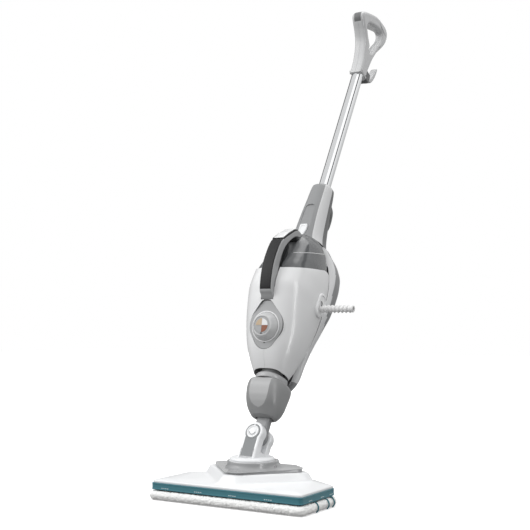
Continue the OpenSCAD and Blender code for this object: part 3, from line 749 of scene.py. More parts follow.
def yoke_body():
    """Two rounded ears on a level disc."""
    parts = []
    for s, span in ((-1, FRONT_EAR), (1, REAR_EAR)):
        half = (span[1] - span[0]) / 2
        place = front_place(span[0] + half)
        ear = plate("ear", keyhole(EAR_R, EAR_HALF, ROLL_T, -14), -half, half, 2.6, matrix=place)
        hollow = keyhole(EAR_R - 4.1, EAR_HALF - 4.7, ROLL_T, inset_foot(s) - 0.4)
        parts.append(carve(ear, plate("pocket", hollow, 0, 4, 0.2, matrix=ear_face(s, 1.6))))
    parts.append(plate("web", rounded([(-17.5, -28), (17.5, -28), (17.5, 20), (-17.5, 20)], 3), -16, 16, 3))
    below = block((-80, -80, 0), (80, 80, 74), TO_UPRIGHT)
    for part in parts:
        carve(part, below, keep_tool=True)
    bpy.data.objects.remove(below)
    disc = [(0, 72.3), (40.9, 72.3), (41.3, 73.0), (41.0, 74.4), (40.0, 75.8), (38.4, 76.8), (36, 77.2),
            (0, 77.2)]
    parts.append(lathe("disc", disc, 96, TO_UPRIGHT @ Matrix.Translation((0, PIVOT.y, 0))))
    fit(look(join("yoke_body", parts), WHITE), "yoke", ["yoke"])


def ear_face(s, deep):
    """The outer face of the front (-1) or the rear (1) ear, as a place to put plates, moved inwards."""
    y = FRONT_EAR[0] + deep if s < 0 else REAR_EAR[1] - deep
    return Matrix.Translation((0, y, 0)) @ Matrix.Rotation(math.pi * (s > 0), 4, "Z") @ FRONT_PLATE


def inset_foot(s):
    """How low the grey inset of the front (-1) or the rear (1) ear reaches."""
    return -2 if s < 0 else 30


def yoke_insets():
    """The grey insets in the ears' faces, each open round its pin cap and slit above it."""
    pieces = []
    ring = arc((0, ROLL_T), CAP_SEAT_R, 0, 360, 48)[:-1]
    for s in (-1, 1):
        outline = keyhole(EAR_R - 4.6, EAR_HALF - 5.2, ROLL_T, inset_foot(s))
        inset = plate("inset", outline, 0, 1.5, 0.35, holes=[ring], matrix=ear_face(s, 1.3))
        pieces.append(carve(inset, block((-1.1, -40, ROLL_T + 10), (1.1, 40, ROLL_T + 20))))
    fit(look(join("yoke_insets", pieces), INSET), "yoke", ["ear_insets"])


def pin_caps():
    """The round caps over the roll pin, each with a ring, a small smile-shaped slot and two dots."""
    parts = []
    profile = [(0, 0), (11.6, 0), (12, 0.4), (12, 2.6), (11.5, 3.2), (10.2, 3.4), (9.3, 3.0), (8.9, 2.5),
               (8.4, 2.4), (8.0, 2.7), (7.2, 3.0), (4, 3.3), (0, 3.4)]
    bead = [(0, 0), (1.1, 0), (1.1, 0.5), (0.7, 0.8), (0, 0.9)]
    for s in (-1, 1):
        turn = ear_face(s, 1.2) @ Matrix.Translation((0, ROLL_T, 0))
        parts.append(look(lathe("cap", profile, 64, turn), WHITE))
        smile = [(x, y, 3.05) for x, y in arc((0, 0), 6.1, 205, 335, 26)]
        parts.append(look(placed(pipe("slot", smile, 0.55, 8), turn), INSET))
        for x, y in arc((0, 0), 6.3, 198, 342, 1):
            parts.append(look(lathe("dot", bead, 16, turn @ Matrix.Translation((x, y, 2.6))), INSET))
    fit(join("pin_caps", parts), "yoke", ["roll_caps"])


def ball_skin():
    """The open white ball that rocks in the collar."""
    low = 40.0
    high = 72.0
    outer = []
    inner = []
    for k in range(17):
        z = low + (high - low) * k / 16
        outer.append((math.sqrt(BALL_R ** 2 - (z - PIVOT.z) ** 2), z))
        inner.append((math.sqrt((BALL_R - BALL_WALL) ** 2 - (z - PIVOT.z) ** 2), z))
    piece = lathe("swivel_ball_skin", outer + inner[::-1], 96, Matrix.Translation((0, PIVOT.y, 0)))
    fit(look(piece, WHITE), "yoke", ["swivel_ball"], FLOOR)


# ---------- cup, dock and neck ----------
CUP_ROWS = [(83, 22, -21, -4, 12, 2.2), (84.4, 25.6, -25.6, -5, 14.5, 2.2), (87, 28, -29, -6, 16, 2.2),
            (94, 32.5, -37, -9, 19, 2.3), (104, 35.5, -46, -12, 21, 2.4), (118, 37.5, -52, -15, 22.5, 2.5),
            (134, 38.5, -54.5, -16, 24, 2.6), (141, 38.1, -53.8, -16, 25, 2.6),
            (145, 37.2, -52.4, -16, 25, 2.6), (147.6, 35.6, -50, -16, 25, 2.6),
            (149, 33.4, -47, -16, 25, 2.6)]
SPINE_ROWS = [(146, 15, 20, 24, 29, 2.4), (160, 25, 19, 24, 31, 2.4), (176, 34, 10, 20, 34, 2.5),
              (205, 44, 1, 9, 27, 2.6), (240, 54, -10, 2, 25, 2.6), (280, 62, -12, 3, 33, 2.6),
              (330, 67, -14, 6, 49, 2.6),
              (370, 67, -16, 6, 57, 2.6), (403, 63.5, -18, 6, 58, 2.6), (428, 54, -22, 2, 52, 2.5),
              (446, 42, -34, -8, 38, 2.4), (462, 34, -50, -20, 20, 2.4), (474, 31, -56, -24, 9, 2.4)]
CASE_ROWS = [(162, 34, -47, -22, 4, 2.5), (173, 39, -57, -24, 6, 2.6), (189, 46, -69, -27, 8, 2.6),
             (205, 53, -78, -28, 9, 2.6), (232, 61, -89, -30, 11, 2.6), (262, 66, -102, -32, 14, 2.6),
             (290, 68.5, -113, -34, 16, 2.6), (320, 70, -121, -36, 17, 2.6), (350, 69, -119.5, -36, 16, 2.6),
             (376, 65.5, -112, -36, 13, 2.6), (400, 59, -103, -36, 8, 2.6), (414, 54, -98, -36, 4, 2.6)]
TANK_ROWS = [(338, 62, -110, -36, 8, 2.6), (350, 65.5, -116.6, -36, 13.5, 2.6),
             (376, 62, -109.2, -36, 10.5, 2.6), (400, 56, -100.2, -36, 5.5, 2.6),
             (424, 49, -91, -34, -4, 2.6), (440, 42, -83, -32, -10, 2.5), (450, 35, -77, -31, -14, 2.4)]
NECK_ROWS = [(452, 36, -63, -26, 16, 2.5), (464, 32.5, -63, -27, 11, 2.5), (476, 30.5, -62.5, -28, 7, 2.6),
             (510, 27.4, -62, -30, 1, 2.6), (554, 24.4, -58.6, -31, -5.4, 2.6),
             (588, 22.4, -55.4, -31, -10.4, 2.6), (593, 21.6, -54.2, -31, -11.4, 2.6),
             (595.4, 20, -51.8, -31, -13.4, 2.5), (596, 17.8, -49.4, -31, -16, 2.4)]
TUBE_Y = -31
TUBE_D = 25.4
TUBE_HOLE_R = TUBE_D / 2 + 0.15
RING_R = 31
RING_PLACE = Matrix.Translation((0, -17, 0))
DOCK_TOP = 451.6
NECK_WALL = 3.4


def facet_half(t):
    """Half the width of the flat on the cup's front at a height."""
    return float(np.interp(t, [92, 94, 98, 106, 118, 149], [0.4, 7, 13.5, 18, 20.5, 21.5]))


def cup_ring(row):
    """The cup's outline at a height: a rounded ring with a flat, whose edges keep their place."""
    t, half, front, wide, _, square = row
    flat = min(facet_half(t), half * 0.8)
    start = math.asin((flat / half) ** (square / 2))
    y_flat = wide - (wide - front) * math.cos(start) ** (2 / square)
    points = [(-flat + 2 * flat * k / 12, y_flat, t) for k in range(13)]
    return points + [skin_point(row, start + (math.tau - 2 * start) * k / 84) for k in range(1, 84)]


def cup():
    """The grey cup under the steamer, with a flattened front painted a lighter grey for the light on it, in
    two halves, and the ring on top.
    """
    whole = loft("cup", [cup_ring(row) for row in smooth_rows(CUP_ROWS, 2.5)])
    carve(whole, shell_loft("hollow", CUP_ROWS, grow=-6, lift=3, step=5))
    carve(whole, block((-17.4, -10.5, 60), (17.4, 5.5, 89)))

    def on_lit_flat(c, n):
        """Whether a face is on the flat, which gets the painted lighter grey."""
        return n.y < -0.6 and abs(c.x) < facet_half(c.z) + 0.2 and 92 < c.z < 148.9

    for node, low, high in (("cup_front", -90, 9.9), ("cup_rear", 10.2, 90)):
        half = look(part_of(whole, node + "_shell", (-90, low, 60), (90, high, 200)), CUP_GREY)
        # Painted light: the flat gets a lighter grey than the cup, standing in for the light that falls on
        # it.
        paint(half, LIT_FLAT_GREY, on_lit_flat)
        fit(half, "frame", [node], sharp=17)
    bpy.data.objects.remove(whole)
    ring = [(0, 149.4), (29.4, 149.4), (30.6, 150), (RING_R, 151.2), (RING_R, 158), (30.4, 159.2),
            (29.2, 159.8), (0, 159.8)]
    piece = lathe("dock_ring", ring, 96, RING_PLACE)
    fit(look(piece, LIGHT_GREY), "frame", ["nozzle_ring"])


def dock():
    """The grey back that carries the steamer, its front edge coloured a lighter grey as a painted highlight.
    """
    spine = shell_loft("dock_back", SPINE_ROWS, step=5)
    carve(spine, block((-90, -60, 130), (90, 140, DOCK_TOP)), "INTERSECT")
    carve(spine, shell_loft("hollow", SPINE_ROWS, grow=-SHELL_WALL, lift=-0.2, step=8))
    carve(spine, shell_loft("case", CASE_ROWS, grow=0.8, step=8))
    carve(spine, shell_loft("tank", reaching(TANK_ROWS, top=451), grow=0.8, step=8))
    carve(spine, shell_loft("cup", reaching(CUP_ROWS, top=150), grow=0.4, step=8))
    carve(spine, rod(36, 130, 183, 64, Matrix.Translation((0, -14, 0))))
    look(spine, GREY)
    edge = np.array([(r[0], r[2]) for r in smooth_rows(SPINE_ROWS, 5)])

    def on_highlight_strip(centre, normal):
        """The sides' front strip that gets the painted highlight, wider towards the foot."""
        front = np.interp(centre.z, edge[:, 0], edge[:, 1])
        reach = np.interp(centre.z, [250, 310, 440, 450], [30, 20, 20, 24])
        return centre.z > 168 and centre.y < front + reach and normal.x * centre.x > 0

    # Painted highlight: the lighter grey on the sides' front strip stands in for the light on that rounded
    # edge.
    paint(spine, HIGHLIGHT_GREY, on_highlight_strip)
    fit(spine, "frame", ["dock_spine"], sharp=35)


def neck():
    """The two neck shells: a flat front with a shallow panel, a painted highlight in light grey on its
    sides, and a dark back.
    """
    whole = shell_loft("neck", NECK_ROWS, step=4)
    inside = [(440,) + tuple(NECK_ROWS[0][1:])] + [row for row in NECK_ROWS if row[0] < 592]
    carve(whole, shell_loft("hollow", inside, grow=-NECK_WALL, step=8))
    carve(whole, rod(TUBE_HOLE_R, 560, 620, 64, Matrix.Translation((0, TUBE_Y, 0))))
    panel_t = 490
    panel = rounded([(-13.5, 440), (13.5, 440), (11, 537), (-11, 537)], [1, 1, 9, 9])
    place = Matrix.Translation((0, -60.6, panel_t)) @ Matrix.Rotation(-math.atan(0.05), 4, "X") @ FRONT_PLATE
    carve(whole, plate("recess", [(x, t - panel_t) for x, t in panel], 0, 30, 0.3, matrix=place))
    carve(whole, plate("seat", button_outline(0.5), 0, 40, 0.1, matrix=front_place(-40)))
    rows = np.array([(r[0], r[1]) for r in smooth_rows(NECK_ROWS, 5)])

    def on_highlight_strip(centre, normal):
        """The sides of the front shell, where the highlight is painted."""
        wide = np.interp(centre.z, rows[:, 0], rows[:, 1])
        return abs(centre.x) > wide * 0.66 and normal.x * centre.x > 0.1

    for node, low, high in (("neck_front", -100, TUBE_Y - 0.1), ("neck_rear", TUBE_Y + 0.2, 60)):
        half = part_of(whole, node + "_shell", (-90, low, 450), (90, high, 620))
        look(half, GREY if node == "neck_front" else DARK_GREY_AND_SHADE)
        if node == "neck_front":
            # Painted highlight: the light grey on the front shell's sides stands in for the light on them.
            paint(half, HIGHLIGHT_GREY, on_highlight_strip)
        fit(half, "frame", [node], sharp=35)
    bpy.data.objects.remove(whole)


def release_key():
    """The white release button with its shallow dish."""
    button = plate("release_key", button_outline(0), 0, 10.6, 1.6, matrix=front_place(-54))
    outline = rounded([(x * DISH_SHARE, BUTTON_T + (t - BUTTON_T) * DISH_SHARE) for x, t in BUTTON], 3)
    carve(button, plate("dish", outline, 0, 8, 0.3, matrix=front_place(-64)))
    fit(look(button, WHITE), "release", ["release_button"])


BUTTON_T = 472
DISH_SHARE = 0.62
BUTTON = [(-8.6, 485), (8.6, 485), (9, 470), (4.4, 456.4), (-4.4, 456.4), (-9, 470)]


def button_outline(out):
    """The release button's outline from the front, moved outwards."""
    corners = [(x + math.copysign(out, x), t + math.copysign(out, t - BUTTON_T)) for x, t in BUTTON]
    return rounded(corners, [4, 4, 5, 3.2, 3.2, 5])


def rear_hook():
    """The lower cord hook on the back of the neck."""
    bend = [(-12, 578), (4, 576), (15, 568), (19, 552), (19, 534), (16, 522), (9, 518), (6.6, 522),
            (11, 528), (12.4, 540), (11.6, 554), (4, 561), (-12, 562)]
    outline = smooth_closed(bend, 6)
    piece = side_plate("cord_hook_low", outline, 9, 2.4)
    carve(piece, shell_loft("neck", NECK_ROWS, grow=0.3, step=8))
    fit(look(piece, DARK_GREY_AND_SHADE), "frame", ["rear_hook"])


# ---------- tube and handle ----------
HANDLE_OUT = [(-46, 914), (-46.5, 940), (-50, 966), (-60, 994), (-76, 1013), (-92, 1026), (-100, 1036),
              (-99, 1047), (-88, 1058), (-66, 1074), (-42, 1089), (-18, 1100), (3, 1107), (17, 1107),
              (27, 1101), (31, 1089), (29, 1070), (20, 1048), (10, 1028), (0, 1007), (-8, 987), (-12, 965),
              (-15, 940), (-15, 914)]
HANDLE_IN = [(-36, 1001), (-52, 1014), (-66, 1029), (-65, 1040), (-50, 1052), (-28, 1065), (-10, 1076),
             (1, 1080), (8, 1075), (8, 1062), (1, 1044), (-9, 1021), (-19, 1000), (-28, 988.5), (-35, 990)]
INSET_PTS = [(-97, 1029.5), (-92, 1026), (-84, 1032), (-80, 1040), (-74, 1048), (-58, 1058), (-36, 1071),
             (-12, 1084), (4, 1090), (14, 1096), (14, 1112), (3, 1112), (-18, 1104), (-42, 1092),
             (-66, 1076), (-88, 1060), (-101, 1048), (-103, 1036)]
HOOK_T = 939
HANDLE_HALF = 15
STRIP_HALF = 7.9


def narrow(obj):
    """Makes the handle's rear bar narrower than its front post."""
    for vertex in obj.data.vertices:
        x, y, t = vertex.co
        share = min(max((y + 45) / 50, 0), 1) * min(max((t - 985) / 40, 0), 1)
        vertex.co.x = x * (1 - 0.32 * share * share * (3 - 2 * share))
    return obj


def chrome_tube():
    """The chrome tube, open at both ends."""
    outside = [(TUBE_D / 2, t) for t in (500, 560, 700, 850, 952)]
    inside = [(TUBE_D / 2 - 1.2, 952), (TUBE_D / 2 - 1.2, 500)]
    piece = lathe("chrome_tube", outside + inside, 128, Matrix.Translation((0, TUBE_Y, 0)))
    fit(look(piece, CHROME), "frame", ["tube"])


def handle():
    """The loop handle: two moulded halves and a soft inset along the top."""
    outer = smooth_open(HANDLE_OUT, 5)
    inner = smooth_closed(HANDLE_IN, 5)
    inset = smooth_closed(INSET_PTS, 4)
    strip = side_plate("strip", inset, STRIP_HALF + 0.3, 0.4)
    bore = rod(TUBE_HOLE_R, 900, 953, 64, Matrix.Translation((0, TUBE_Y, 0)))
    whole = side_plate("loop", outer, HANDLE_HALF, HANDLE_HALF / 2, holes=[inner], steps=7)
    for node, low, high in (("handle_left", -40, -GAP / 2), ("handle_right", GAP / 2, 40)):
        half = part_of(whole, node + "_shell", (low, -150, 880), (high, 80, 1150))
        carve(half, strip, keep_tool=True)
        carve(half, bore, keep_tool=True)
        fit(narrow(look(half, HANDLE_GREY)), "frame", [node], sharp=35)
    bpy.data.objects.remove(bore)
    bpy.data.objects.remove(strip)
    soft = side_plate("handle_strip", inset, STRIP_HALF, 0.8)
    carve(soft, whole, "INTERSECT")
    fit(narrow(look(soft, DARK_GREY_AND_SHADE)), "frame", ["handle_inset"])


def top_hook():
    """The upper cord hook: a base on the handle's foot and a turning paddle."""
    foot = rounded([(-13.4, 924), (4, 924), (6, 928), (6, 944), (3, 948), (-13.4, 948)], 3)
    base = side_plate("hook_foot", foot, 10, 2.5)
    fit(look(base, DARK_GREY_AND_SHADE), "frame", ["hook_base"])
    bend = [(6.8, -4.6), (14, -4.4), (19.6, 1), (24, 10), (28, 24), (30, 38), (29.6, 48), (27, 50.6),
            (24.2, 45), (21, 29), (16, 13), (12.4, 6.4), (6.8, 5.6)]
    outline = smooth_closed([(y, HOOK_T + t) for y, t in bend], 6)
    paddle = side_plate("hook_paddle", outline, 8, 2.2)
    fit(look(paddle, HANDLE_GREY), "hook", ["top_hook"])


# ---------- steamer ----------
BOSS_Y = -32
BOSS_T = 303
BOSS_FACE = 73
BOSS_BORE_R = 6
LEAD_BORE_R = 3.5
SLEEVE_START = 56
SLEEVE_LONG = 86
SLEEVE_R = 5.5
CUFF_START = 138.2
CUFF_R = 6.6
TIP_START = 141
TIP_R = 5.9
RIB_HIGH = 2.0
RIB_PITCH = 8.2
STEAMER_FRONT = -150
WELL_HALF = 14.8
TRENCH_HALF = 13.75
TRENCH_TOP = 303
TANK_WALL = 2
FILLER_SEAT_R = 8.5
GRIP_HALF = 13.4
GRIP_PAD_HALF = 11.5
KNOB_HOLE_R = 4.9
KNOB_R = 27
FLUTES = 20
QUARTER_R = 12.8
PANEL = Matrix.Translation((0, -85.2, 233.5)) @ Matrix.Rotation(math.radians(111), 4, "X")


def above_line():
    """The space over the casing's top edge: level at the front, rounded down at the back."""
    edge = [(-220, 291.2), (-60, 374.4), (-44, 383.5), (-30, 388.5), (-14, 388.5), (0, 384), (11, 374),
            (18, 358), (60, 352), (60, 520), (-220, 520)]
    return side_plate("above", edge, 100, 0.01, round_low=False, steps=1)


def front_slot(half, back, low, high):
    """A slot that is open through the steamer's front, as a cutting tool."""
    return block((-half, STEAMER_FRONT, low), (half, back, high))


def panel_outline(out):
    """The control panel's outline in its own plane."""
    return round_hull([(0, 3, 36), (0, -18, 24), (0, 34, 17)], out)


def casing():
    """The white casing in two halves, with the panel's seat, the grip's channel and the lead inlet."""
    whole = shell_loft("casing", CASE_ROWS, count=128, step=3)

    def hollow_out():
        """Takes the inside away, before the bezel goes on and again after it."""
        carve(whole, shell_loft("hollow", reaching(CASE_ROWS, 156, 420), grow=-SHELL_WALL, step=6))

    hollow_out()
    carve(whole, front_slot(WELL_HALF, -80, 302, 428))
    carve(whole, front_slot(TRENCH_HALF, -82.7, 278.7, TRENCH_TOP))
    carve(whole, above_line())
    carve(whole, plate("bezel", panel_outline(3.2), -22, -1.6, 1.2, matrix=PANEL, round_low=False), "UNION")
    hollow_out()
    carve(whole, plate("seat", panel_outline(0.5), -30, 30, 0.01, steps=1, matrix=PANEL, round_low=False))
    carve(whole, rod(BOSS_BORE_R + 0.5, 40, 90, 32, side_axis()))
    for node, low, high in (("case_left", -90, -GAP / 2), ("case_right", GAP / 2, 90)):
        half = part_of(whole, node + "_shell", (low, -170, 150), (high, 90, 430))
        fit(look(half, CASE), "steamer", [node], sharp=35)
    bpy.data.objects.remove(whole)


def tank():
    """The smoked water tank with its cavity and a rib round its shoulder."""
    whole = shell_loft("tank_shell", TANK_ROWS, count=128, step=3)
    cavity = shell_loft("cavity", reaching(TANK_ROWS, 340, 447), grow=-TANK_WALL, step=6)
    carve(cavity, front_slot(WELL_HALF + 0.4 + TANK_WALL, -77.6, 300, 430))
    carve(whole, cavity)
    carve(whole, front_slot(WELL_HALF + 0.4, -79.6, 300, 430))
    filler = Matrix.Translation((-38, -30, 424)) @ Matrix.Rotation(math.radians(-52), 4, "Y")
    carve(whole, rod(FILLER_SEAT_R, -6, 24, 32, filler))
    fit(look(whole, SMOKE), "steamer", ["water_tank"], sharp=35)
    # The rib's pale grey is a painted highlight along the moulded line.
    fit(look(tank_rib(), HIGHLIGHT_GREY), "steamer")


def on_tank(turn, height):
    """The point of the tank's skin in a direction round it, at the height that a function gives."""
    rows = np.array(TANK_ROWS)
    t = 410.0
    for _ in range(12):
        row = [t] + [float(np.interp(t, rows[:, 0], rows[:, k])) for k in range(1, 6)]
        point = skin_point(row, turn)
        t = height(point[1])
    return point


def tank_rib():
    """A moulded line on both sides of the tank: level when the mop leans, then up to the neck."""
    ribs = []
    for s in (-1, 1):
        path = [on_tank(s * math.radians(a), lambda y: 447.8 + 0.589 * y) for a in range(17, 92, 3)]
        top = path[-1][2]
        path += [on_tank(s * math.radians(90), lambda y, t=t: t) for t in np.linspace(top + 3, 447, 8)]
        ribs.append(pipe("rib", path, 0.9, 8))
    return join("tank_rib", ribs)


GRIP_MID = [(-104, 280), (-116, 286), (-124, 292), (-133, 314), (-139, 340), (-139.5, 366), (-137, 388),
            (-131, 402), (-117, 422), (-102, 441), (-90, 448), (-79, 447), (-79, 438), (-94, 431),
            (-107, 415), (-118, 393), (-122, 370), (-120, 345), (-114, 322), (-104, 303), (-84, 298),
            (-84, 288)]
PAD_MID = [(-125.2, 293), (-134.6, 314), (-140.8, 340), (-141.3, 366), (-138.4, 389), (-133.4, 400),
           (-129, 397), (-133, 386), (-136, 366), (-135.5, 341), (-129.5, 316), (-121, 297)]
GRIP_TOP = [(-133.6, 401.5), (-119, 423.5), (-105, 441.5), (-97, 446.4), (-94.5, 444.4), (-102, 437.5),
            (-115, 420.5), (-129, 399)]


def grip():
    """The arched grip: a grey bow, a black pad in its face and a white cap at the top."""
    bow = side_plate("grip_bow", smooth_closed(GRIP_MID, 4), GRIP_HALF, 2.6)
    face = smooth_closed(PAD_MID, 4)
    carve(bow, side_plate("pocket", face, GRIP_PAD_HALF + 0.4, 0.4))
    way = [(-129, 332), (-131, 376), (-105, 376), (-105, 332)]
    carve(bow, side_plate("slot", way, 7.4, 0.4))
    carve(bow, shell_loft("tank", TANK_ROWS, grow=0.3, step=8))
    fit(look(bow, BOW_GREY), "steamer", ["grip_frame"])
    pad = side_plate("grip_soft_pad", face, GRIP_PAD_HALF, 1.6)
    fit(look(pad, BLACK), "steamer", ["grip_pad"])
    rim = side_plate("grip_top_rim", rounded(GRIP_TOP, 2), 13, 0.5)
    fit(look(rim, BLACK), "steamer")
    lid_points = [(-132.6, 404.5)] + [(y - 0.9, t + 0.9) for y, t in GRIP_TOP[1:]]
    lid = side_plate("grip_top_lid", rounded(lid_points, 2), 10.6, 1.0)
    fit(look(lid, GLOSS_WHITE), "steamer")


def panel():
    """The control panel with its side walls painted dark as shade, its small arrow, and the pale ring round
    the knob.
    """
    plain = plate("panel_face", panel_outline(0), -5.4, 1.6, 0.9, matrix=PANEL, round_low=False)
    carve(plain, rod(KNOB_HOLE_R, -20, 20, 32, PANEL))
    carve(plain, front_slot(TRENCH_HALF + 0.05, -83, 278.6, TRENCH_TOP))
    look(plain, PANEL_GREY)
    facing = PANEL.to_3x3() @ Vector((0, 0, 1))
    # Painted shade: the raised panel's side walls are coloured dark grey for the shade along its edge.
    paint(plain, DARK_GREY_AND_SHADE, lambda c, n: abs(n @ facing) < 0.2)
    fit(plain, "steamer", ["control_panel"])
    arrow = rounded([(-2.6, -31.5), (2.6, -31.5), (0, -26.2)], 0.3)
    fit(look(plate("panel_sign", arrow, 1.5, 1.75, 0.05, matrix=PANEL), DARK), "steamer")
    ring = lathe("knob_ring", [(27.4, 1.5), (29.6, 1.5), (29.6, 2.4), (28.8, 3.1), (27.4, 2.9)], 96, PANEL)
    fit(look(ring, GLOSS_WHITE), "steamer")


def knob():
    """The fluted control knob."""
    profile = [(0, -8), (4.5, -8), (4.5, 2), (26.6, 2), (KNOB_R, 3.2), (26.4, 5.6), (23.4, 11), (21.2, 14.6),
               (20.0, 16.4), (19.2, 17), (17.6, 17), (16.9, 16.4), (16.6, 15.4), (0, 15.4)]
    body = lathe("knob_body", profile, 96)
    for k in range(FLUTES):
        turn = Matrix.Rotation(math.tau * k / FLUTES, 4, "Z")
        carve(body, rod(0.55, 1, 8, 8, turn @ Matrix.Translation((KNOB_R - 0.1, 0, 0))))
    fit(look(placed(body, PANEL), KNOB), "knob", ["dial_knob"])


def dial():
    """The knob's face: a disc with four coloured quarters and a dark pointer."""
    parts = []
    for start, mat in ((90, BEIGE), (0, GLOSS_WHITE), (270, RUST), (180, PANEL_GREY)):
        wedge = arc((0, 0), 0.35, start + 45, start + 45, 1)[:1]
        wedge += arc((0, 0), QUARTER_R, start + 1, start + 89, 16)
        parts.append(look(flat_wedge(wedge, 15.8, 16.5), mat))
    back = lathe("back", [(0, 15.5), (16.4, 15.5), (16.4, 15.9), (16.1, 16.1), (14, 16.0), (0, 16.0)], 64)
    parts.append(look(back, PANEL_GREY))
    parts.append(look(flat_wedge([(-1.6, -16.2), (1.6, -16.2), (0, -12.4)], 16.0, 16.7), DARK))
    fit(placed(join("dial_disc", parts), PANEL), "knob", ["dial_face"])


def flat_wedge(points, low, high):
    """A thin flat piece of any outline that is open to one side only."""
    return loft("wedge", [[(x, y, z) for x, y in points] for z in (low, high)])


def stadium(low, high, radius):
    """An upright outline with round ends, their middles at two heights from the boss's middle."""
    return arc((0, high), radius, 0, 180, 20) + arc((0, low), radius, 180, 360, 20)


def inlet():
    """The lead inlet on the right: a raised boss with a shallow dish and a dark slot."""
    side = Matrix.Translation((0, BOSS_Y, BOSS_T)) @ SIDE_PLATE
    boss = plate("inlet_housing", stadium(-1, 17, 16), 50, BOSS_FACE, 3, matrix=side, round_low=False)
    carve(boss, shell_loft("case", CASE_ROWS, grow=0.3, step=6))
    carve(boss, plate("dish", stadium(0, 16, 11.5), 71.6, 80, 0.4, matrix=side))
    slot = arc((-2, 11), 5, 0, 180, 12) + arc((-2, 1), 5, 180, 360, 12)
    carve(boss, plate("slot", slot, 66, 90, 0.4, matrix=side))
    carve(boss, rod(BOSS_BORE_R, 40, 90, 32, side_axis()))
    look(boss, GLOSS_WHITE)

    def in_slot(c, _):
        """Whether a face is inside the slot, by its middle."""
        return 65 < c.x < 71.4 and abs(c.y - BOSS_Y + 2) < 5.3 and -5 < c.z - BOSS_T < 17

    paint(boss, DARK, in_slot)
    fit(boss, "steamer", ["inlet_boss"])


def sleeve_radius(x, turn):
    """The sleeve's radius: a helical rib between a plain root and a plain end collar."""
    if x > TIP_START:
        return TIP_R
    if x >= CUFF_START:
        return CUFF_R
    wave = (x - 76) / RIB_PITCH + turn / math.tau
    ridge = max(0.0, math.sin(wave * math.tau)) ** 0.6
    fade = min(max((x - 74) / 4, 0), 1) * min(max((138 - x) / 3, 0), 1)
    return SLEEVE_R + RIB_HIGH * ridge * fade


def sleeve():
    """The ribbed sleeve that the mains lead leaves by."""
    sides = 40
    turns = [math.tau * j / sides for j in range(sides)]
    levels = 320
    rings = []
    for k in range(levels + 1):
        x = SLEEVE_START + SLEEVE_LONG * k / levels
        radii = [sleeve_radius(x, turn) for turn in turns]
        rings.append([(r * math.cos(turn), r * math.sin(turn), x) for r, turn in zip(radii, turns)])
    piece = loft("ribbed_sleeve", rings)
    carve(piece, rod(LEAD_BORE_R, 50, 150, 32))
    fit(look(placed(piece, side_axis()), SLEEVE), "steamer", ["lead_sleeve"])


def side_axis():
    """The place of turned pieces on the lead inlet's axis, with z to the right."""
    return Matrix.Translation((0, BOSS_Y, BOSS_T)) @ Matrix.Rotation(math.pi / 2, 4, "Y")


# ---------- the CAD nodes that stay ----------
NODE_LOOKS = {
    CASE: ["grip_well"],
    GREY: ["tongue"],
    DARK: ["sole_plate", "filler_cap", "steam_trigger", "pump"],
    LIGHT_GREY: ["steam_nozzle"],
    BLACK: ["tank_gasket"],
    STEEL: ["head_screws", "pitch_pin", "roll_pin", "cup_screws", "steam_pipe", "neck_screws",
            "handle_screws", "release_spring", "trigger_spring", "case_screws", "dock_rails",
            "boiler", "boiler_clamps"],
    SILICONE: ["water_hose", "steam_hose", "steam_duct"],
    TAPE: ["hook_strips"],
    BOARD: ["control_board"],
}
SMOOTH_ANGLE = math.radians(35)


def dress_nodes():
    """Materials and crisp smooth shading on the CAD nodes that stay in sight."""
    for mat, names in NODE_LOOKS.items():
        for name in names:
            node = frame["nodes"][name]
            node.data.materials.clear()
            node.data.materials.append(mat)
            node.data.shade_smooth()
            split = node.modifiers.new("crisp edges", "EDGE_SPLIT")
            split.split_angle = SMOOTH_ANGLE


dress_nodes()
for make in (head_shell, collar, teal_band, terry_pad, loops_on_pad,
             yoke_body, yoke_insets, pin_caps, ball_skin,
             cup, dock, neck, release_key, rear_hook, chrome_tube, handle, top_hook,
             casing, tank, grip, panel, knob, dial, inlet, sleeve):
    make()


# ---------- camera, floor and light ----------
CAM_AZIMUTH = math.radians(31.52)
CAM_DISTANCE = 1799
CAM_ASIDE = 21.5
CAM_HEIGHT = 319.5
CAM_UP = math.radians(3.37)
CAM_LENS = 66.57


def add_camera():
    """The camera, at the photograph's view of the mop."""
    right = Vector((math.cos(CAM_AZIMUTH), math.sin(CAM_AZIMUTH), 0))
    away = Vector((math.sin(CAM_AZIMUTH), -math.cos(CAM_AZIMUTH), 0))
    camera = scene_object("camera", bpy.data.cameras.new("camera"))
    camera.data.lens = CAM_LENS
    camera.data.sensor_width = 36
    camera.data.clip_start = 0.05
    camera.data.clip_end = 60
    camera.location = FLOOR @ (away * CAM_DISTANCE + right * CAM_ASIDE + Vector((0, 0, CAM_HEIGHT)))
    camera.rotation_euler = (math.pi / 2 + CAM_UP, 0, CAM_AZIMUTH)
    bpy.context.scene.camera = camera


def card(name, centre, wide, high, right, up, color, strength=0.0, reflected=True):
    """A flat studio card between its own right and up directions, seen only in reflections or only by
    the camera."""
    mesh = bpy.data.meshes.new(name)
    w = right.normalized() * wide / 2
    h = up.normalized() * high / 2
    mesh.from_pydata([centre - w - h, centre + w - h, centre + w + h, centre - w + h], [], [(0, 1, 2, 3)])
    obj = scene_object(name, mesh)
    mat = bpy.data.materials.new(name)
    mat.use_nodes = True
    shown = {"Base Color": (*color, 1), "Roughness": 1}
    glow = {"Emission Color": (*color, 1), "Emission Strength": strength}
    set_inputs(mat.node_tree.nodes["Principled BSDF"], shown | glow)
    mesh.materials.append(mat)
    obj.visible_diffuse = False
    obj.visible_shadow = False
    obj.visible_transmission = False
    obj.visible_camera = not reflected
    obj.visible_glossy = reflected


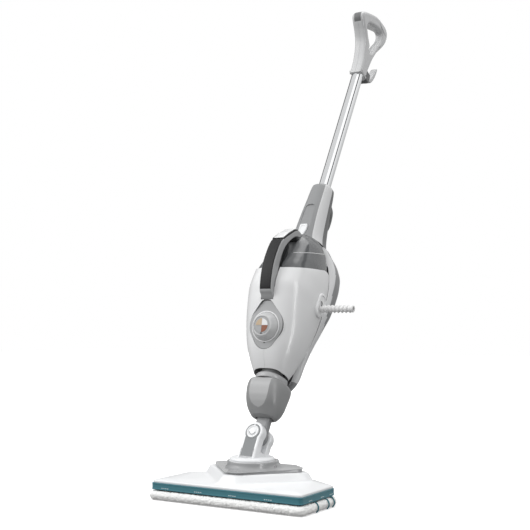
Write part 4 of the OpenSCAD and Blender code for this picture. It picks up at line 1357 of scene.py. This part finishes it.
def area_light(name, size, where, aim, power):
    """A rectangular lamp that faces a point."""
    light = bpy.data.lights.new(name, "AREA")
    light.shape = "RECTANGLE"
    light.size, light.size_y = size
    light.energy = power
    obj = scene_object(name, light)
    obj.location = where
    obj.rotation_euler = (Vector(where) - Vector(aim)).to_track_quat("Z", "Y").to_euler()


TUBE_MIDDLE = UPRIGHT @ Vector((0, TUBE_Y, 726))
CARD_REACH = 1.7
TUBE_CARDS = [("edge flag", 35, 14, 0.03), ("left flag", -140, 40, 0.10), ("low flag", 160, 36, 0.28),
              ("side grey", -64, 70, 0.55)]


def tube_cards():
    """Long cards round the chrome tube, which gives its streaks, each at an angle round it."""
    across = Vector((0.580, -0.701, 0.414))
    beside = Vector((0.814, 0.500, -0.294))
    for name, angle, width, shade in TUBE_CARDS:
        turn = math.radians(angle)
        away = (0.433 * along + 0.901 * (math.cos(turn) * across + math.sin(turn) * beside)).normalized()
        side = away.cross(along).normalized()
        wide = 2 * CARD_REACH * math.tan(math.radians(min(width, 70)) / 2)
        centre = TUBE_MIDDLE + away * CARD_REACH
        card(name, centre, wide, 3.4, side, side.cross(away), (shade, shade, shade), 1.0)


def add_world():
    """A white backdrop for the camera, and a studio that is bright above and dim below for the rest."""
    world = bpy.data.worlds.new("studio")
    bpy.context.scene.world = world
    world.use_nodes = True
    nodes = world.node_tree.nodes
    links = world.node_tree.links
    background = nodes["Background"]
    place = nodes.new("ShaderNodeTexCoord")
    split = nodes.new("ShaderNodeSeparateXYZ")
    height = nodes.new("ShaderNodeMapRange")
    height.inputs["From Min"].default_value = -1
    ramp = nodes.new("ShaderNodeValToRGB")
    ramp.color_ramp.elements[0].color = (0.20, 0.20, 0.20, 1)
    ramp.color_ramp.elements[1].color = (1.35, 1.35, 1.35, 1)
    for spot, shade in ((0.45, 0.34), (0.5, 0.46), (0.75, 0.9)):
        ramp.color_ramp.elements.new(spot).color = (shade, shade, shade, 1)
    seen = nodes.new("ShaderNodeLightPath")
    pick = nodes.new("ShaderNodeMix")
    pick.data_type = "RGBA"
    links.new(place.outputs["Generated"], split.inputs["Vector"])
    links.new(split.outputs["Z"], height.inputs["Value"])
    links.new(height.outputs["Result"], ramp.inputs["Fac"])
    links.new(ramp.outputs["Color"], pick.inputs[6])
    pick.inputs[7].default_value = (1, 1, 1, 1)
    links.new(seen.outputs["Is Camera Ray"], pick.inputs[0])
    links.new(pick.outputs[2], background.inputs["Color"])
    background.inputs["Strength"].default_value = 1.0


def add_stage():
    """The backdrop, a white floor, three soft lamps and the cards that the glossy pieces show."""
    add_world()
    bpy.context.scene.view_settings.view_transform = "Standard"
    up = Vector((0, 0, 1))
    low = Vector((0, 0, floor_z - 0.0003))
    pale = (0.95, 0.95, 0.95)
    card("floor", low, 14, 14, Vector((1, 0, 0)), Vector((0, 1, 0)), pale, 0.30, reflected=False)
    middle = Vector((0, 0, floor_z + 0.5))
    area_light("key", (1.6, 2.0), middle + Vector((-2.2, -2.2, 1.7)), middle, 54)
    area_light("fill", (1.6, 1.6), middle + Vector((2.8, -1.6, 1.0)), middle, 5)
    area_light("top", (1.4, 1.4), middle + Vector((0.0, 0.3, 2.4)), middle, 9)
    tube_cards()
    aside = Vector((0.85, -0.52, 0.12)).normalized()
    card("side strip", middle + aside * 2.4, 0.55, 2.8, aside.cross(up), up, (1, 1, 1), 4.5)


add_camera()
add_stage()
